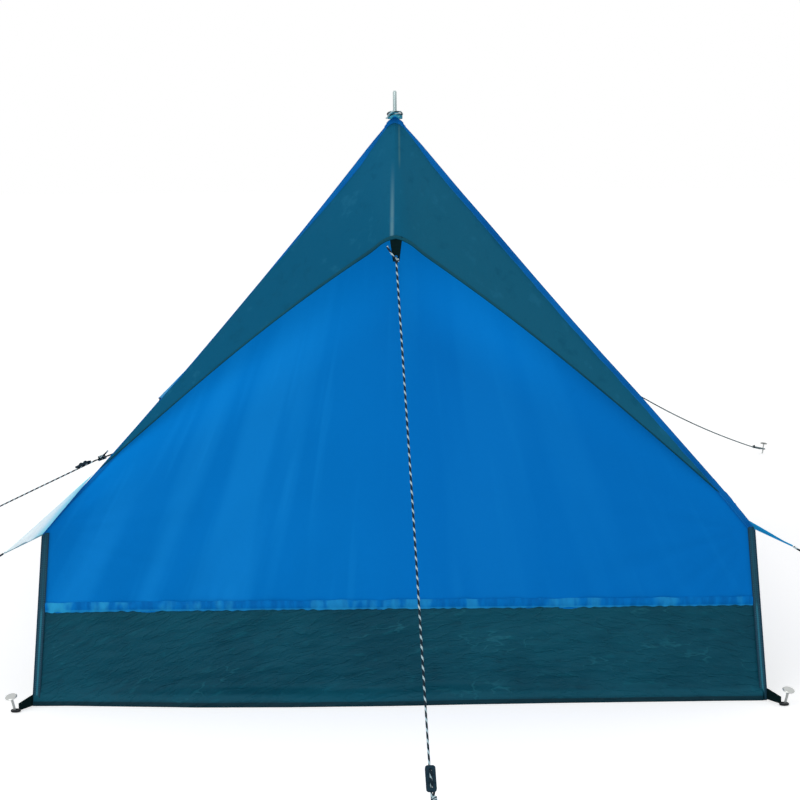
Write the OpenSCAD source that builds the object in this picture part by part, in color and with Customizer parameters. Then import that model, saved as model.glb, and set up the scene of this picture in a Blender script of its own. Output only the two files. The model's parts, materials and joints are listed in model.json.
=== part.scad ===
// Two-person A-frame (ridge) tent, pitched with its guy lines and pegs.
// The origin is the centre of the groundsheet's underside. +X is right and -Y is the closed rear
// end, as seen from behind the tent. +Y is the door end and +Z is up. Sizes are in millimetres.

/* [Tent body] */
// Length from the rear wall to the front wall
tent_l = 1900; // [1600:10:2200]
// Height of the ridge above the ground
ridge_h = 950; // [900:5:1050]
// Width across the eaves
eave_w = 1148; // [1060:2:1240]
// Height of the eaves above the ground
eave_h = 283; // [250:1:320]
// Width of the groundsheet on the ground
floor_w = 1194; // [1160:2:1300]
// Height that the groundsheet's edges turn up
tub_h = 150; // [110:1:190]
// Thickness of each sheet of fabric
cloth_t = 1; // [0.8:0.1:1.4]

/* [Seams and tapes] */
// Width of the binding tape round both end walls
edge_tape_w = 12; // [8:1:18]
// Height of the gathered band where the rear wall meets the tub
seam_band_h = 19; // [12:1:30]
// Width of the ridge tape on each side of the ridge
ridge_tape_w = 25; // [15:1:40]
// Width of the webbing tab at each end of the ridge
ridge_tab_w = 18; // [17:1:30]
// How far each ridge tab hangs past the end wall
ridge_tab_reach = 22; // [14:1:40]

/* [Rear vent and hood] */
// Half width of the vent opening at its lower edge
vent_half_w = 75; // [50:1:80]
// Drop from the ridge to the vent's lower edge
vent_drop = 172; // [160:1:174]
// Overlap of the net round the vent opening
vent_hem = 10; // [6:1:12]
// How far the hood's lower point stands out from the rear wall
hood_reach = 119; // [60:1:160]
// Drop from the ridge to the hood's lower point
hood_drop = 185; // [180:1:230]
// Height where the hood's lower edge meets the slopes
hood_side_h = 360; // [320:1:420]
// Width of the hood's webbing tab at its top
hood_tab_w = 20; // [14:1:30]
// Width of the hood's webbing tab at its lower end
hood_tab_end_w = 10; // [8:1:14]
// Length of the hood's webbing tab
hood_tab_l = 46; // [36:1:60]

/* [Doorway] */
// Half width of the doorway at the sill
door_half_w = 500; // [420:1:520]
// Drop from the ridge to the top of the doorway
door_drop = 57; // [57:1:150]
// Half width of the doorway at its top
door_top_half_w = 18; // [14:1:24]

/* [Zips] */
// Width of each zip tape
zip_tape_w = 14; // [12:1:18]
// Thickness of each zip tape
zip_tape_t = 0.8; // [0.6:0.1:1.2]
// Width of the closed chain
chain_w = 5; // [4:0.5:7]
// Height of the closed chain above its tape
chain_h = 1.6; // [1.2:0.1:2.2]
// Length of a zip slider
zip_slider_l = 14; // [11:0.5:18]
// Wall thickness of a zip slider
zip_slider_t = 0.9; // [0.7:0.1:1.4]
// Length of a zip pull
pull_l = 24; // [18:1:30]
// Width of a zip pull
pull_w = 6; // [5.6:0.2:7]

/* [Poles] */
// Outside diameter of the steel pole
pole_d = 9.5; // [8:0.5:12]
// Wall thickness of the steel pole
pole_wall = 0.8; // [0.6:0.1:1.2]
// Length of the necked end that plugs into the next section
neck_l = 28; // [20:1:40]
// Diameter of the spike on the top section
spike_d = 6; // [4:0.5:6.5]
// How far the spike stands above the ridge
spike_rise = 37; // [25:1:60]
// Distance from the end wall's outer face to the pole's axis
pole_inset = 12; // [10:1:30]
// Outside diameter of the plastic foot
foot_d = 16; // [14:1:20]
// Height of the plastic foot
foot_h = 16; // [12:1:24]

/* [Pegs and floor loops] */
// Diameter of a peg's shank
peg_d = 4; // [3:0.5:5]
// Length of a peg from head to point
peg_l = 180; // [150:5:230]
// Diameter of a peg's round head
peg_head_d = 20; // [14:1:26]
// How far each peg leans away from the tent, in degrees
peg_lean = 20; // [5:1:30]
// How far a peg's head stays above the ground, along the shank
peg_proud = 28; // [26:1:40]
// Inside diameter of a floor ring
ring_in_d = 10; // [9:0.5:14]
// Thickness of a floor ring's wall
ring_wall = 3; // [2:0.5:4]
// Height of a floor ring
ring_h = 3.5; // [2.5:0.5:5]
// Distance from a floor corner to the middle of its ring, along the tent
corner_loop_l = 44; // [34:1:60]
// Distance from the tub's side to the middle of its ring
side_loop_l = 35; // [28:1:50]
// Width of the floor loop webbing at the tent
loop_w = 18; // [16:1:26]
// Width of the floor loop webbing at the ring
loop_end_w = 10; // [8:1:14]
// Thickness of the webbing
webbing_t = 1.5; // [1:0.1:2]

/* [Eave wings and tabs] */
// How far a rear wing's tip stands out beside the eave
wing_out = 46; // [30:1:60]
// How far a rear wing's tip stands out past the end wall
wing_reach = 100; // [60:1:130]
// How far a rear wing's tip hangs below the eave
wing_drop = 13; // [10:1:30]
// How far a front wing's tip stands out beside the eave
front_wing_out = 9; // [6:1:20]
// How far a front wing's tip stands out past the end wall
front_wing_reach = 50; // [40:1:80]
// How far a front wing's tip hangs below the eave
front_wing_drop = 4; // [2:1:12]
// How far up the slope a wing is sewn on, as a height above the eave
wing_sewn_h = 97; // [60:1:130]
// Length of a mid-eave tab
eave_tab_l = 34; // [26:1:45]
// Width of a mid-eave tab
eave_tab_w = 16; // [14:1:22]
// Diameter of the cord hole in the hood tab and in a mid-eave tab
cord_hole_d = 6; // [5:0.5:7]

/* [Guy lines] */
// Diameter of the guy cord
cord_d = 3; // [2.5:0.1:3.2]
// Length of a line slider
runner_l = 38; // [30:1:45]
// Width of a line slider
runner_w = 14; // [12:1:18]
// Thickness of a line slider
runner_t = 3.5; // [3:0.5:5]
// Diameter of the holes in a line slider
runner_hole_d = 4.4; // [4:0.2:5]

/* [Door ties] */
// Height of the door ties above the ground
tie_h = 470; // [420:5:560]
// Length of a tie's webbing
tie_l = 46; // [36:1:60]
// Width of a tie's webbing
tie_w = 12; // [8:1:14]
// Length of a tie's toggle
toggle_l = 30; // [22:1:36]
// Diameter of a tie's toggle
toggle_d = 7; // [5:0.5:9]

/* [Hidden] */
// Gap left at each sewn edge, and the running gap of parts that move
seam_gap = 0.2;
run_gap = 0.3;
fine = 48;

half_l = tent_l / 2;
half_floor = floor_w / 2;
vent_h = ridge_h - vent_drop;
hood_tip_h = ridge_h - hood_drop;
door_top_h = ridge_h - door_drop;
// Fall of the roof per millimetre across, and lean of the side wall per millimetre up
roof_fall = 2 * (ridge_h - eave_h) / eave_w;
side_lean = (half_floor - eave_w / 2) / eave_h;
roof_stretch = sqrt(1 + roof_fall * roof_fall);
side_stretch = sqrt(1 + side_lean * side_lean);
wall_depth = cloth_t + seam_gap;

pole_r = pole_d / 2;
bore_r = pole_r - pole_wall;
neck_r = bore_r - 0.1;
pole_y = half_l - pole_inset;
foot_floor = 3;
pole_base = cloth_t + foot_floor;
// Underside of the ridge, where it would rest on the shoulder of the pole
shoulder_z = ridge_h - cloth_t * roof_stretch - roof_fall * pole_r - run_gap;
section_l = (shoulder_z - pole_base) / 3;
// The plug under the spike ends in a collar, which stands through the ridge and its eyelet
collar_r = spike_d / 2 + 0.6;
collar_step = 0.6;
spike_hole_r = collar_r + 0.6;
eyelet_in_r = collar_r + run_gap;
eyelet_wall = 1.1;
eyelet_rise = 1.8;
neck_step = 3.2;
plug_depth = 20;
pole_edge = 0.6;

peg_r = peg_d / 2;
peg_head_t = 2.5;
peg_point = 14;
cord_r = cord_d / 2;
cord_sides = 8;
peg_cord_gap = 0.6;
ring_r = ring_in_d / 2;
ring_lift = 0.5;

tape_face = half_l + zip_tape_t;
chain_top = tape_face + chain_h;
chain_x = 0.3 + zip_slider_t + run_gap + chain_w / 2;
zip_z0 = tub_h + 0.6;
sill_chain_z = zip_z0 + 3.9;
slider_half_w = chain_w / 2 + run_gap + zip_slider_t;
slider_top = chain_h + run_gap + 1.2;
pull_t = 1.2;
bridge_t = 2;
bridge_hole_h = 1.8;
pull_axis_h = slider_top + bridge_hole_h / 2;
centre_slider_z = tub_h + 30;
side_slider_x = 30;

// Guy line routes, from the tent to the peg, round the peg and back to the knot
route_rear = [
    [0, -1068.5, 730.2], [0, -1073, 729.8], [11, -1240, 549], [22, -1406, 368], [31, -1553, 211],
    [41, -1703, 52], [44, -1726, 27], [45, -1740, 12], [47, -1744, 12], [51, -1746, 12],
    [55, -1744, 12], [57, -1740, 12], [50, -1723, 30], [47, -1709, 45], [45, -1699, 56]
];
route_left_mid = [
    [-608, 0, 268.7], [-733, 89, 203], [-860, 179, 136], [-985, 268, 71], [-1075, 331, 23],
    [-1100, 344, 12], [-1104, 346, 12], [-1106, 350, 12], [-1104, 354, 12], [-1100, 356, 12],
    [-1078, 340, 24], [-1050, 320, 39], [-1040, 313, 44]
];
route_rear_left = [
    [-620.5, -1050, 269.5], [-750, -1036, 190], [-950, -1015, 81], [-1070, -1004, 22],
    [-1100, -1006, 12], [-1104, -1004, 12], [-1106, -1000, 12], [-1104, -996, 12],
    [-1100, -994, 12], [-1072, -997, 22], [-1045, -1001, 33], [-1035, -1003, 38]
];
route_rear_right = [for (p = route_rear_left) [-p[0], p[1], p[2]]];
route_front_right = [
    [583.5, 1000, 278.5], [696, 1232, 203], [809, 1465, 133], [922, 1697, 69], [1018, 1893, 19],
    [1035, 1929, 12], [1038, 1932, 12], [1043, 1931, 12], [1046, 1928, 12], [1045, 1923, 12],
    [1030, 1898, 19], [1009, 1862, 27], [1004, 1852, 29]
];

// ---- The cross section: slope and side lines, each moved inwards by a depth d ----

function slope_x(z, d) = (ridge_h - d * roof_stretch - z) / roof_fall;
function side_x(z, d) = half_floor - d * side_stretch - side_lean * z;
function apex_z(d) = ridge_h - d * roof_stretch;
function eave_z(d) =
    (apex_z(d) - roof_fall * (half_floor - d * side_stretch)) / (1 - roof_fall * side_lean);
function eave_pt(d) = [side_x(eave_z(d), d), eave_z(d)];
// A point s along the slope from the ridge and d under its outer face
function slope_pt(s, d) =
    [(s - d * roof_fall) / roof_stretch, ridge_h - (s * roof_fall + d) / roof_stretch];
function mirrored(pts) = [for (i = [len(pts) - 1 : -1 : 0]) [-pts[i][0], pts[i][1]]];

// Outline of the right half of a sloping strip, between the depths d0 and d1
function slope_strip(x0, d0, d1) = [
    [x0, apex_z(d0) - roof_fall * x0], eave_pt(d0), eave_pt(d1), [x0, apex_z(d1) - roof_fall * x0]
];
// Outline of the right side strip under the eave, down to the height z0
function side_strip(d0, d1, z0) = [
    [side_x(eave_z(d0) - seam_gap, d0), eave_z(d0) - seam_gap], [side_x(z0, d0), z0],
    [side_x(z0, d1), z0], [side_x(eave_z(d1) - seam_gap, d1), eave_z(d1) - seam_gap]
];
// Half outline of a band across an end wall, between two heights
function band(z0, z1, d) = [[side_x(z1, d), z1], [side_x(z0, d), z0]];

// ---- Small helpers ----

function unit(v) = v / norm(v);

// An outline in X and Z, given thickness from y0 to y1
module slab(pts, y0, y1) {
    translate([0, y1, 0])
        rotate([90, 0, 0])
            linear_extrude(height = y1 - y0)
                polygon(pts);
}

module both_sides() {
    children();
    mirror([1, 0, 0]) children();
}

module both_ends() {
    children();
    mirror([0, 1, 0]) children();
}

// A thin flat triangle of cloth through a, b and c, with its thickness along v
module cloth_triangle(a, b, c, v) {
    turned = cross(b - a, c - a) * v < 0;
    p = turned ? c : b;
    q = turned ? b : c;
    polyhedron(
        points = [a, p, q, a + v, p + v, q + v],
        faces = [[0, 1, 2], [5, 4, 3], [0, 3, 4, 1], [1, 4, 5, 2], [2, 5, 3, 0]]
    );
}

// Turns a piece that stands along Z to point along d, and moves its origin to p
module along(p, d) {
    translate(p)
        rotate([0, 0, atan2(d[1], d[0])])
            rotate([0, acos(d[2] / norm(d)), 0])
                children();
}

function heading(p, i) = unit(p[min(i + 1, len(p) - 1)] - p[max(i - 1, 0)]);
function carried(p, i) =
    i == 0
        ? [unit(cross(heading(p, 0), [0, 0, 1]))]
        : let (before = carried(p, i - 1), t = heading(p, i), v = before[i - 1])
            concat(before, [unit(v - (v * t) * t)]);

// A round cord swept along a route
module cord(route) {
    last = len(route) - 1;
    side = carried(route, last);
    color("darkslategray")
        polyhedron(
            points = [
                for (i = [0 : last], j = [0 : cord_sides - 1])
                    let (a = 360 * j / cord_sides, s = side[i], u = cross(heading(route, i), s))
                        route[i] + cord_r * (cos(a) * s + sin(a) * u)
            ],
            faces = concat(
                [[for (j = [0 : cord_sides - 1]) j]],
                [[for (j = [cord_sides - 1 : -1 : 0]) last * cord_sides + j]],
                [
                    for (i = [0 : last - 1], j = [0 : cord_sides - 1])
                        let (k = (j + 1) % cord_sides, n = i * cord_sides)
                            [n + j, n + j + cord_sides, n + k + cord_sides]
                ],
                [
                    for (i = [0 : last - 1], j = [0 : cord_sides - 1])
                        let (k = (j + 1) % cord_sides, n = i * cord_sides)
                            [n + j, n + k + cord_sides, n + k]
                ]
            )
        );
}

// ---- Groundsheet and tub ----

module groundsheet() {
    half_w = side_x(cloth_t, wall_depth);
    half_d = half_l - wall_depth;
    color("#0e4456")
        translate([-half_w, -half_d, 0])
            cube([2 * half_w, 2 * half_d, cloth_t]);
}

module tub_end() {
    half = band(0, tub_h, wall_depth);
    color("#0e4456")
        slab(concat(half, mirrored(half)), -half_l, -half_l + cloth_t);
}

module tub_rear() { tub_end(); }

module tub_front() { mirror([0, 1, 0]) tub_end(); }

module tub_sides() {
    outline = concat(band(0, tub_h, 0), [[side_x(0, cloth_t), 0], [side_x(tub_h, cloth_t), tub_h]]);
    color("#0e4456")
        both_sides() slab(outline, -half_l, half_l);
}

module side_walls() {
    color("#155577")
        both_sides() slab(side_strip(0, cloth_t, tub_h + seam_gap), -half_l, half_l);
}

// ---- Roof and ridge ----

module spike_holes() {
    both_ends()
        translate([0, pole_y, ridge_h - 40])
            cylinder(r = spike_hole_r, h = 60, $fn = fine);
}

module roof_half() {
    color("#0568b4")
        difference() {
            slab(slope_strip(seam_gap / 2, 0, cloth_t), -half_l, half_l);
            spike_holes();
        }
}

module roof_right() { roof_half(); }

module roof_left() { mirror([1, 0, 0]) roof_half(); }

module ridge_tape() {
    under = -seam_gap / 2;
    over = under - cloth_t;
    half = [slope_pt(ridge_tape_w, over), slope_pt(ridge_tape_w, under)];
    outline = concat([[0, apex_z(over)]], half, [[0, apex_z(under)]], mirrored(half));
    color("#0568b4")
        difference() {
            slab(outline, -half_l, half_l);
            spike_holes();
        }
}

tab_z = apex_z(-seam_gap / 2 - cloth_t) + seam_gap;
eyelet_top = tab_z + webbing_t + eyelet_rise;

module ridge_tabs() {
    inner_end = pole_y - ridge_tab_w / 2 - 8;
    outer_end = half_l + ridge_tab_reach - ridge_tab_w / 2;
    color("#10333c")
        both_ends()
            difference() {
                translate([0, 0, tab_z])
                    linear_extrude(height = webbing_t)
                        difference() {
                            union() {
                                translate([-ridge_tab_w / 2, inner_end])
                                    square([ridge_tab_w, outer_end - inner_end]);
                                translate([0, outer_end])
                                    circle(d = ridge_tab_w, $fn = fine);
                            }
                            translate([0, outer_end])
                                circle(d = cord_hole_d, $fn = fine);
                        }
                translate([0, pole_y, tab_z - 1])
                    cylinder(r = eyelet_in_r + eyelet_wall + 0.2, h = webbing_t + 2, $fn = fine);
            }
}

// Rolled eyelets in the ridge tabs, which the pole spikes pass through
module ridge_eyelets() {
    inner = eyelet_in_r;
    outer = inner + 4.2;
    low = tab_z + seam_gap;
    rim = tab_z + webbing_t;
    color("#9fc4cc")
        both_ends()
            translate([0, pole_y, 0])
                rotate_extrude($fn = fine)
                    polygon([
                        [inner, low], [inner + eyelet_wall, low], [inner + eyelet_wall, rim], [outer, rim],
                        [outer, rim + 0.8], [outer - 1, eyelet_top], [inner + 1, eyelet_top],
                        [inner, rim + 1.2]
                    ]);
}

// ---- Rear wall, vent and hood ----

function end_wall_half(z0) = [[0, apex_z(wall_depth)], eave_pt(wall_depth), [side_x(z0, wall_depth), z0]];

module rear_wall() {
    half = end_wall_half(tub_h + seam_gap);
    vent_top = vent_h + roof_fall * vent_half_w;
    color("#0568b4")
        difference() {
            slab(concat(half, mirrored(half)), -half_l, -half_l + cloth_t);
            slab([[0, vent_top], [vent_half_w, vent_h], [-vent_half_w, vent_h]],
                -half_l - 1, -half_l + cloth_t + 1);
        }
}

module rear_vent_net() {
    low = vent_h - vent_hem;
    top = vent_h + roof_fall * vent_half_w + vent_hem * roof_stretch;
    half_w = (top - low) / roof_fall;
    color("#1d2b33")
        slab([[0, top], [half_w, low], [-half_w, low]], -half_l - cloth_t, -half_l);
}

module hood_half() {
    depth = edge_tape_w + 2;
    y = -half_l - cloth_t;
    color("#155577")
        cloth_triangle(
            [seam_gap / 2, y, apex_z(depth)],
            [slope_x(hood_side_h, depth), y, hood_side_h],
            [seam_gap / 2, y - hood_reach, hood_tip_h],
            [0, cloth_t, 0]
        );
}

module rear_hood_right() { hood_half(); }

module rear_hood_left() { mirror([1, 0, 0]) hood_half(); }

module hood_tab() {
    top = hood_tip_h + 5;
    low = top - hood_tab_l;
    face = -half_l - cloth_t - hood_reach - seam_gap;
    hole_z = low + 7;
    color("#0b1f22")
        difference() {
            slab([
                [-hood_tab_w / 2, top], [-hood_tab_end_w / 2, low], [hood_tab_end_w / 2, low],
                [hood_tab_w / 2, top]
            ], face - webbing_t, face);
            translate([0, face + 1, hole_z])
                rotate([90, 0, 0])
                    cylinder(d = cord_hole_d - 1, h = webbing_t + 2, $fn = fine);
        }
}

// ---- Tapes on the end walls ----

module slope_tapes() {
    color("#0a5fa6")
        both_sides()
            both_ends()
                slab(slope_strip(seam_gap / 2, 0, edge_tape_w), half_l, half_l + cloth_t);
}

module corner_tapes() {
    color("#0a3f5e")
        both_sides()
            both_ends()
                slab(side_strip(0, edge_tape_w, 0), half_l, half_l + cloth_t);
}

module rear_seam_band() {
    half = band(tub_h - 1, tub_h - 1 + seam_band_h, edge_tape_w + seam_gap);
    color("#055ea4")
        slab(concat(half, mirrored(half)), -half_l - cloth_t, -half_l);
}

// ---- Front wall and doors ----

// The sewn edge of a door leaf, which is also its hinge line
door_rise = door_top_h - tub_h;
door_run = door_half_w - door_top_half_w;
hinge_shift = 0.15 * norm([door_rise, door_run]) / door_rise;
function hinge_x(z) = door_half_w - (z - tub_h) * door_run / door_rise;

module front_walls() {
    low = tub_h + seam_gap;
    top = door_top_h + seam_gap;
    outline = [
        [seam_gap / 2, apex_z(wall_depth)], eave_pt(wall_depth), [side_x(low, wall_depth), low],
        [hinge_x(low) + hinge_shift, low], [hinge_x(top) + hinge_shift, top], [seam_gap / 2, top]
    ];
    color("#0568b4")
        both_sides() slab(outline, half_l - cloth_t, half_l);
}

module door_leaf() {
    low = tub_h + 0.5;
    color("#0568b4")
        slab([
            [0.4, low], [hinge_x(low) - hinge_shift, low],
            [hinge_x(door_top_h) - hinge_shift, door_top_h], [0.4, door_top_h]
        ], half_l - cloth_t, half_l);
}

module door_right() { door_leaf(); }

module door_left() { mirror([1, 0, 0]) door_leaf(); }

module sill_zip_tape() {
    color("#0b2f45")
        slab([
            [-door_half_w, tub_h - 0.2], [-door_half_w, tub_h - zip_tape_w],
            [door_half_w, tub_h - zip_tape_w], [door_half_w, tub_h - 0.2]
        ], half_l, half_l + zip_tape_t);
}

// ---- Zips ----

function rect(x0, z0, x1, z1) = [[x0, z0], [x1, z0], [x1, z1], [x0, z1]];

// The tape down a leaf's free edges, with the chain along its foot
module leaf_tape() {
    top = door_top_h - 3;
    end = hinge_x(zip_z0 + zip_tape_w) - 8;
    slab(rect(0.4, zip_z0, zip_tape_w, top), half_l, tape_face);
    slab(rect(0.4, zip_z0, end, zip_z0 + zip_tape_w), half_l, tape_face);
    slab(rect(12, sill_chain_z - chain_w / 2, end - 12, sill_chain_z + chain_w / 2),
        half_l, chain_top);
}

module zip_chain_left() {
    color("#0b2f45")
        mirror([1, 0, 0]) leaf_tape();
}

module zip_chain_right() {
    low = zip_z0 + zip_tape_w + 3;
    color("#0b2f45") {
        leaf_tape();
        slab(rect(chain_x - chain_w / 2, low, chain_x + chain_w / 2, door_top_h - 6),
            half_l, chain_top);
    }
}

// A slider that runs along Z with its back towards the tape at y = 0
module zip_slider() {
    half = slider_half_w;
    nose = zip_slider_l / 2;
    color("#8b9094") {
        difference() {
            intersection() {
                slab(rect(-half, -nose, half, nose), run_gap, slider_top);
                slab([
                    [-half * 0.7, -nose], [half * 0.7, -nose], [half, -nose + 3], [half, nose - 2],
                    [half - 1.2, nose], [-half + 1.2, nose], [-half, nose - 2], [-half, -nose + 3]
                ], 0, slider_top);
            }
            slab(rect(-chain_w / 2 - run_gap, -nose - 1, chain_w / 2 + run_gap, nose + 1),
                -1, chain_h + run_gap);
        }
        difference() {
            translate([-bridge_t / 2, slider_top - 0.2, -4.2])
                cube([bridge_t, bridge_hole_h + 1.4, 8.4]);
            translate([-bridge_t, slider_top, -2.8])
                cube([2 * bridge_t, bridge_hole_h, 5.6]);
        }
    }
}

// A pull that hangs from the slider's bridge, with its pivot bar on the X axis
module zip_pull() {
    bar_r = 0.6;
    arm_x = bridge_t / 2 + run_gap;
    arm_w = pull_w / 2 - arm_x;
    color("#8b9094") {
        translate([-pull_w / 2, 0, 0])
            rotate([0, 90, 0])
                cylinder(r = bar_r, h = pull_w, $fn = 24);
        for (s = [-1, 1])
            translate([s > 0 ? arm_x : -pull_w / 2, -bar_r, -7])
                cube([arm_w, 2 * bar_r, 7]);
        translate([0, bar_r, 0])
            rotate([90, 0, 0])
                linear_extrude(height = 2 * bar_r)
                    difference() {
                        union() {
                            translate([-pull_w / 2, -pull_l + pull_w / 2])
                                square([pull_w, pull_l - pull_w / 2 - 5]);
                            translate([0, -pull_l + pull_w / 2])
                                circle(d = pull_w, $fn = fine);
                        }
                        translate([0, -pull_l + pull_w / 2])
                            circle(d = pull_w - 3, $fn = fine);
                    }
    }
}

module at_centre_zip() {
    translate([chain_x, tape_face, centre_slider_z]) children();
}

module at_sill_zip() {
    translate([side_slider_x, tape_face, sill_chain_z])
        rotate([0, -90, 0])
            children();
}

module zip_slider_centre() { at_centre_zip() zip_slider(); }

module zip_slider_right() { at_sill_zip() zip_slider(); }

module zip_slider_left() { mirror([1, 0, 0]) at_sill_zip() zip_slider(); }

module zip_pull_centre() { at_centre_zip() translate([0, pull_axis_h, 0]) zip_pull(); }

module zip_pull_right() { at_sill_zip() translate([0, pull_axis_h, 0]) zip_pull(); }

module zip_pull_left() { mirror([1, 0, 0]) at_sill_zip() translate([0, pull_axis_h, 0]) zip_pull(); }

// ---- Door ties ----

tie_x = 0.3 * hinge_x(tie_h) + 0.7 * slope_x(tie_h, edge_tape_w);

module door_tie_loops() {
    color("#0b1f22")
        both_sides()
            slab(rect(tie_x - tie_w / 2, tie_h - tie_l, tie_x + tie_w / 2, tie_h),
                half_l, half_l + webbing_t);
}

module door_toggles() {
    r = toggle_d / 2;
    y = half_l + webbing_t + r + seam_gap;
    color("#15191c")
        both_sides()
            translate([tie_x - toggle_l / 2, y, tie_h - tie_l + r + 2])
                rotate([0, 90, 0])
                    rotate_extrude($fn = fine)
                        polygon([
                            [0, 0], [r - 1, 0], [r, 1], [r, toggle_l / 2 - 5],
                            [r - 1, toggle_l / 2 - 3], [r - 1, toggle_l / 2 + 3],
                            [r, toggle_l / 2 + 5], [r, toggle_l - 1], [r - 1, toggle_l],
                            [0, toggle_l]
                        ]);
}

// ---- Wings and tabs on the eaves ----

module wing(out, reach, drop) {
    y = half_l + cloth_t + run_gap;
    sewn_z = eave_h + wing_sewn_h;
    slope_in = cloth_t / roof_stretch;
    cloth_triangle(
        [slope_x(sewn_z, 0), y, sewn_z],
        [eave_pt(0)[0], y, eave_h],
        [eave_pt(0)[0] + out, half_l + reach, eave_h - drop],
        [-roof_fall * slope_in, 0, -slope_in]
    );
}

module rear_wings() {
    color("#a9d8ea")
        both_sides() mirror([0, 1, 0]) wing(wing_out, wing_reach, wing_drop);
}

module front_wings() {
    color("#2f8fc6")
        both_sides() wing(front_wing_out, front_wing_reach, front_wing_drop);
}

// A webbing tab half way along the eave, with a hole for a guy line
module eave_tab(out, tilt) {
    hole_s = eave_tab_l - 6;
    translate([eave_pt(0)[0] + out, 0, eave_h - 1.6])
        rotate([0, tilt, 0])
            difference() {
                translate([0, -eave_tab_w / 2, -webbing_t])
                    cube([eave_tab_l, eave_tab_w, webbing_t]);
                translate([hole_s, 0, -webbing_t - 1])
                    cylinder(d = cord_hole_d, h = webbing_t + 2, $fn = fine);
            }
}

// The left tab is pulled out by its guy line, and the right one is free and hangs down
module eave_tabs() {
    color("#0b1f22") {
        mirror([1, 0, 0]) eave_tab(1.4, 20);
        eave_tab(2.2, 60);
    }
}

// ---- Floor loops and rings ----

corner_out = unit([5, 9]);
corner_at = [half_floor, half_l + cloth_t + run_gap];
corner_ring_at = corner_at + corner_loop_l * corner_out;
side_ring_at = [half_floor + side_loop_l, 0];

// A strap along X that narrows to its end, with low as the height of its lower edge
module narrowing_strap(l, low) {
    linear_extrude(height = webbing_t)
        polygon([[0, low], [l, max(low, -loop_end_w / 2)], [l, low < 0 ? loop_end_w / 2 : loop_end_w],
            [0, low + loop_w]]);
}

// A strap from the tent to a ring, with its end cut to the ring's outside
module floor_loop(from, to, on_edge) {
    out = unit(to - from);
    l = norm(to - from);
    color("#0b1f22")
        difference() {
            translate([from[0], from[1], 0])
                rotate([0, 0, atan2(out[1], out[0])])
                    if (on_edge)
                        translate([0, webbing_t / 2, ring_lift])
                            rotate([90, 0, 0])
                                narrowing_strap(l, 0);
                    else
                        translate([0, 0, cloth_t])
                            narrowing_strap(l, -loop_w / 2);
            translate([to[0], to[1], -1])
                cylinder(r = ring_r + ring_wall + seam_gap, h = loop_w + 3, $fn = fine);
        }
}

// The corner straps are sewn into the upright corner seams, so they stand on edge
module floor_loops() {
    both_sides() {
        both_ends()
            difference() {
                floor_loop(corner_at - 6 * corner_out, corner_ring_at, true);
                translate([0, 0, -1])
                    cube([2 * half_floor, half_l + cloth_t + run_gap, 30]);
            }
        floor_loop([half_floor + seam_gap, 0], side_ring_at, false);
    }
}

module floor_ring(at) {
    color("#15191c")
        translate([at[0], at[1], ring_lift])
            rotate_extrude($fn = fine)
                polygon([
                    [ring_r, 0], [ring_r + ring_wall - 0.8, 0], [ring_r + ring_wall, 0.8],
                    [ring_r + ring_wall, ring_h - 0.8], [ring_r + ring_wall - 0.8, ring_h],
                    [ring_r, ring_h]
                ]);
}

module corner_rings() {
    both_sides() both_ends() floor_ring(corner_ring_at);
}

module side_rings() {
    both_sides() floor_ring(side_ring_at);
}

// ---- Poles ----

// A steel tube section with an open lower end and, if asked, a necked upper end
module pole_section(z0, z1, necked) {
    taper = 3;
    wall_in = neck_r - pole_wall;
    neck = [
        [neck_r, z1 + taper], [neck_r, z1 + neck_l], [wall_in, z1 + neck_l], [wall_in, z1 + taper]
    ];
    color("#b4c8c7")
        both_ends()
            translate([0, pole_y, 0])
                rotate_extrude($fn = fine)
                    polygon(concat(
                        [[bore_r, z0], [pole_r, z0], [pole_r, z1]], necked ? neck : [], [[bore_r, z1]]
                    ));
}

function joint_z(i) = pole_base + i * section_l;

module pole_lower() { pole_section(joint_z(0), joint_z(1), true); }

module pole_middle() { pole_section(joint_z(1) + neck_step, joint_z(2), true); }

// The top section, closed by a plug that carries the collar and the spike
module pole_top() {
    low = joint_z(2) + neck_step;
    tip = ridge_h + spike_rise;
    r = spike_d / 2;
    collar_top = eyelet_top + 0.6;
    color("#b4c8c7")
        both_ends()
            translate([0, pole_y, 0])
                rotate_extrude($fn = fine)
                    polygon([
                        [bore_r, low], [pole_r, low], [pole_r, shoulder_z - pole_edge],
                        [pole_r - pole_edge, shoulder_z], [collar_r, shoulder_z],
                        [collar_r, collar_top], [r, collar_top + collar_step],
                        [r, tip - 2], [r - 1.2, tip], [0, tip],
                        [0, shoulder_z - plug_depth], [bore_r, shoulder_z - plug_depth]
                    ]);
}

module pole_feet() {
    r = foot_d / 2;
    cup_r = pole_r + 0.1;
    color("#15191c")
        both_ends()
            translate([0, pole_y, cloth_t])
                rotate_extrude($fn = fine)
                    polygon([
                        [0, 0], [r - 1, 0], [r, 1], [r, foot_floor + 1], [cup_r + 1.4, foot_h],
                        [cup_r, foot_h], [cup_r, foot_floor], [0, foot_floor]
                    ]);
}

// ---- Pegs ----

// A nail peg along Z, whose shank leaves the ground at the origin
module peg() {
    head = peg_proud;
    tip = peg_proud + peg_head_t - peg_l;
    head_r = peg_head_d / 2;
    color("#c9cdcc")
        rotate_extrude($fn = fine)
            polygon([
                [0, tip], [0.4, tip], [peg_r, tip + peg_point], [peg_r, head - 2],
                [peg_r + 1, head], [head_r - 0.6, head], [head_r, head + 0.8],
                [head_r - 1, head + peg_head_t - 0.4], [head_r - 4, head + peg_head_t],
                [0, head + peg_head_t]
            ]);
}

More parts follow.
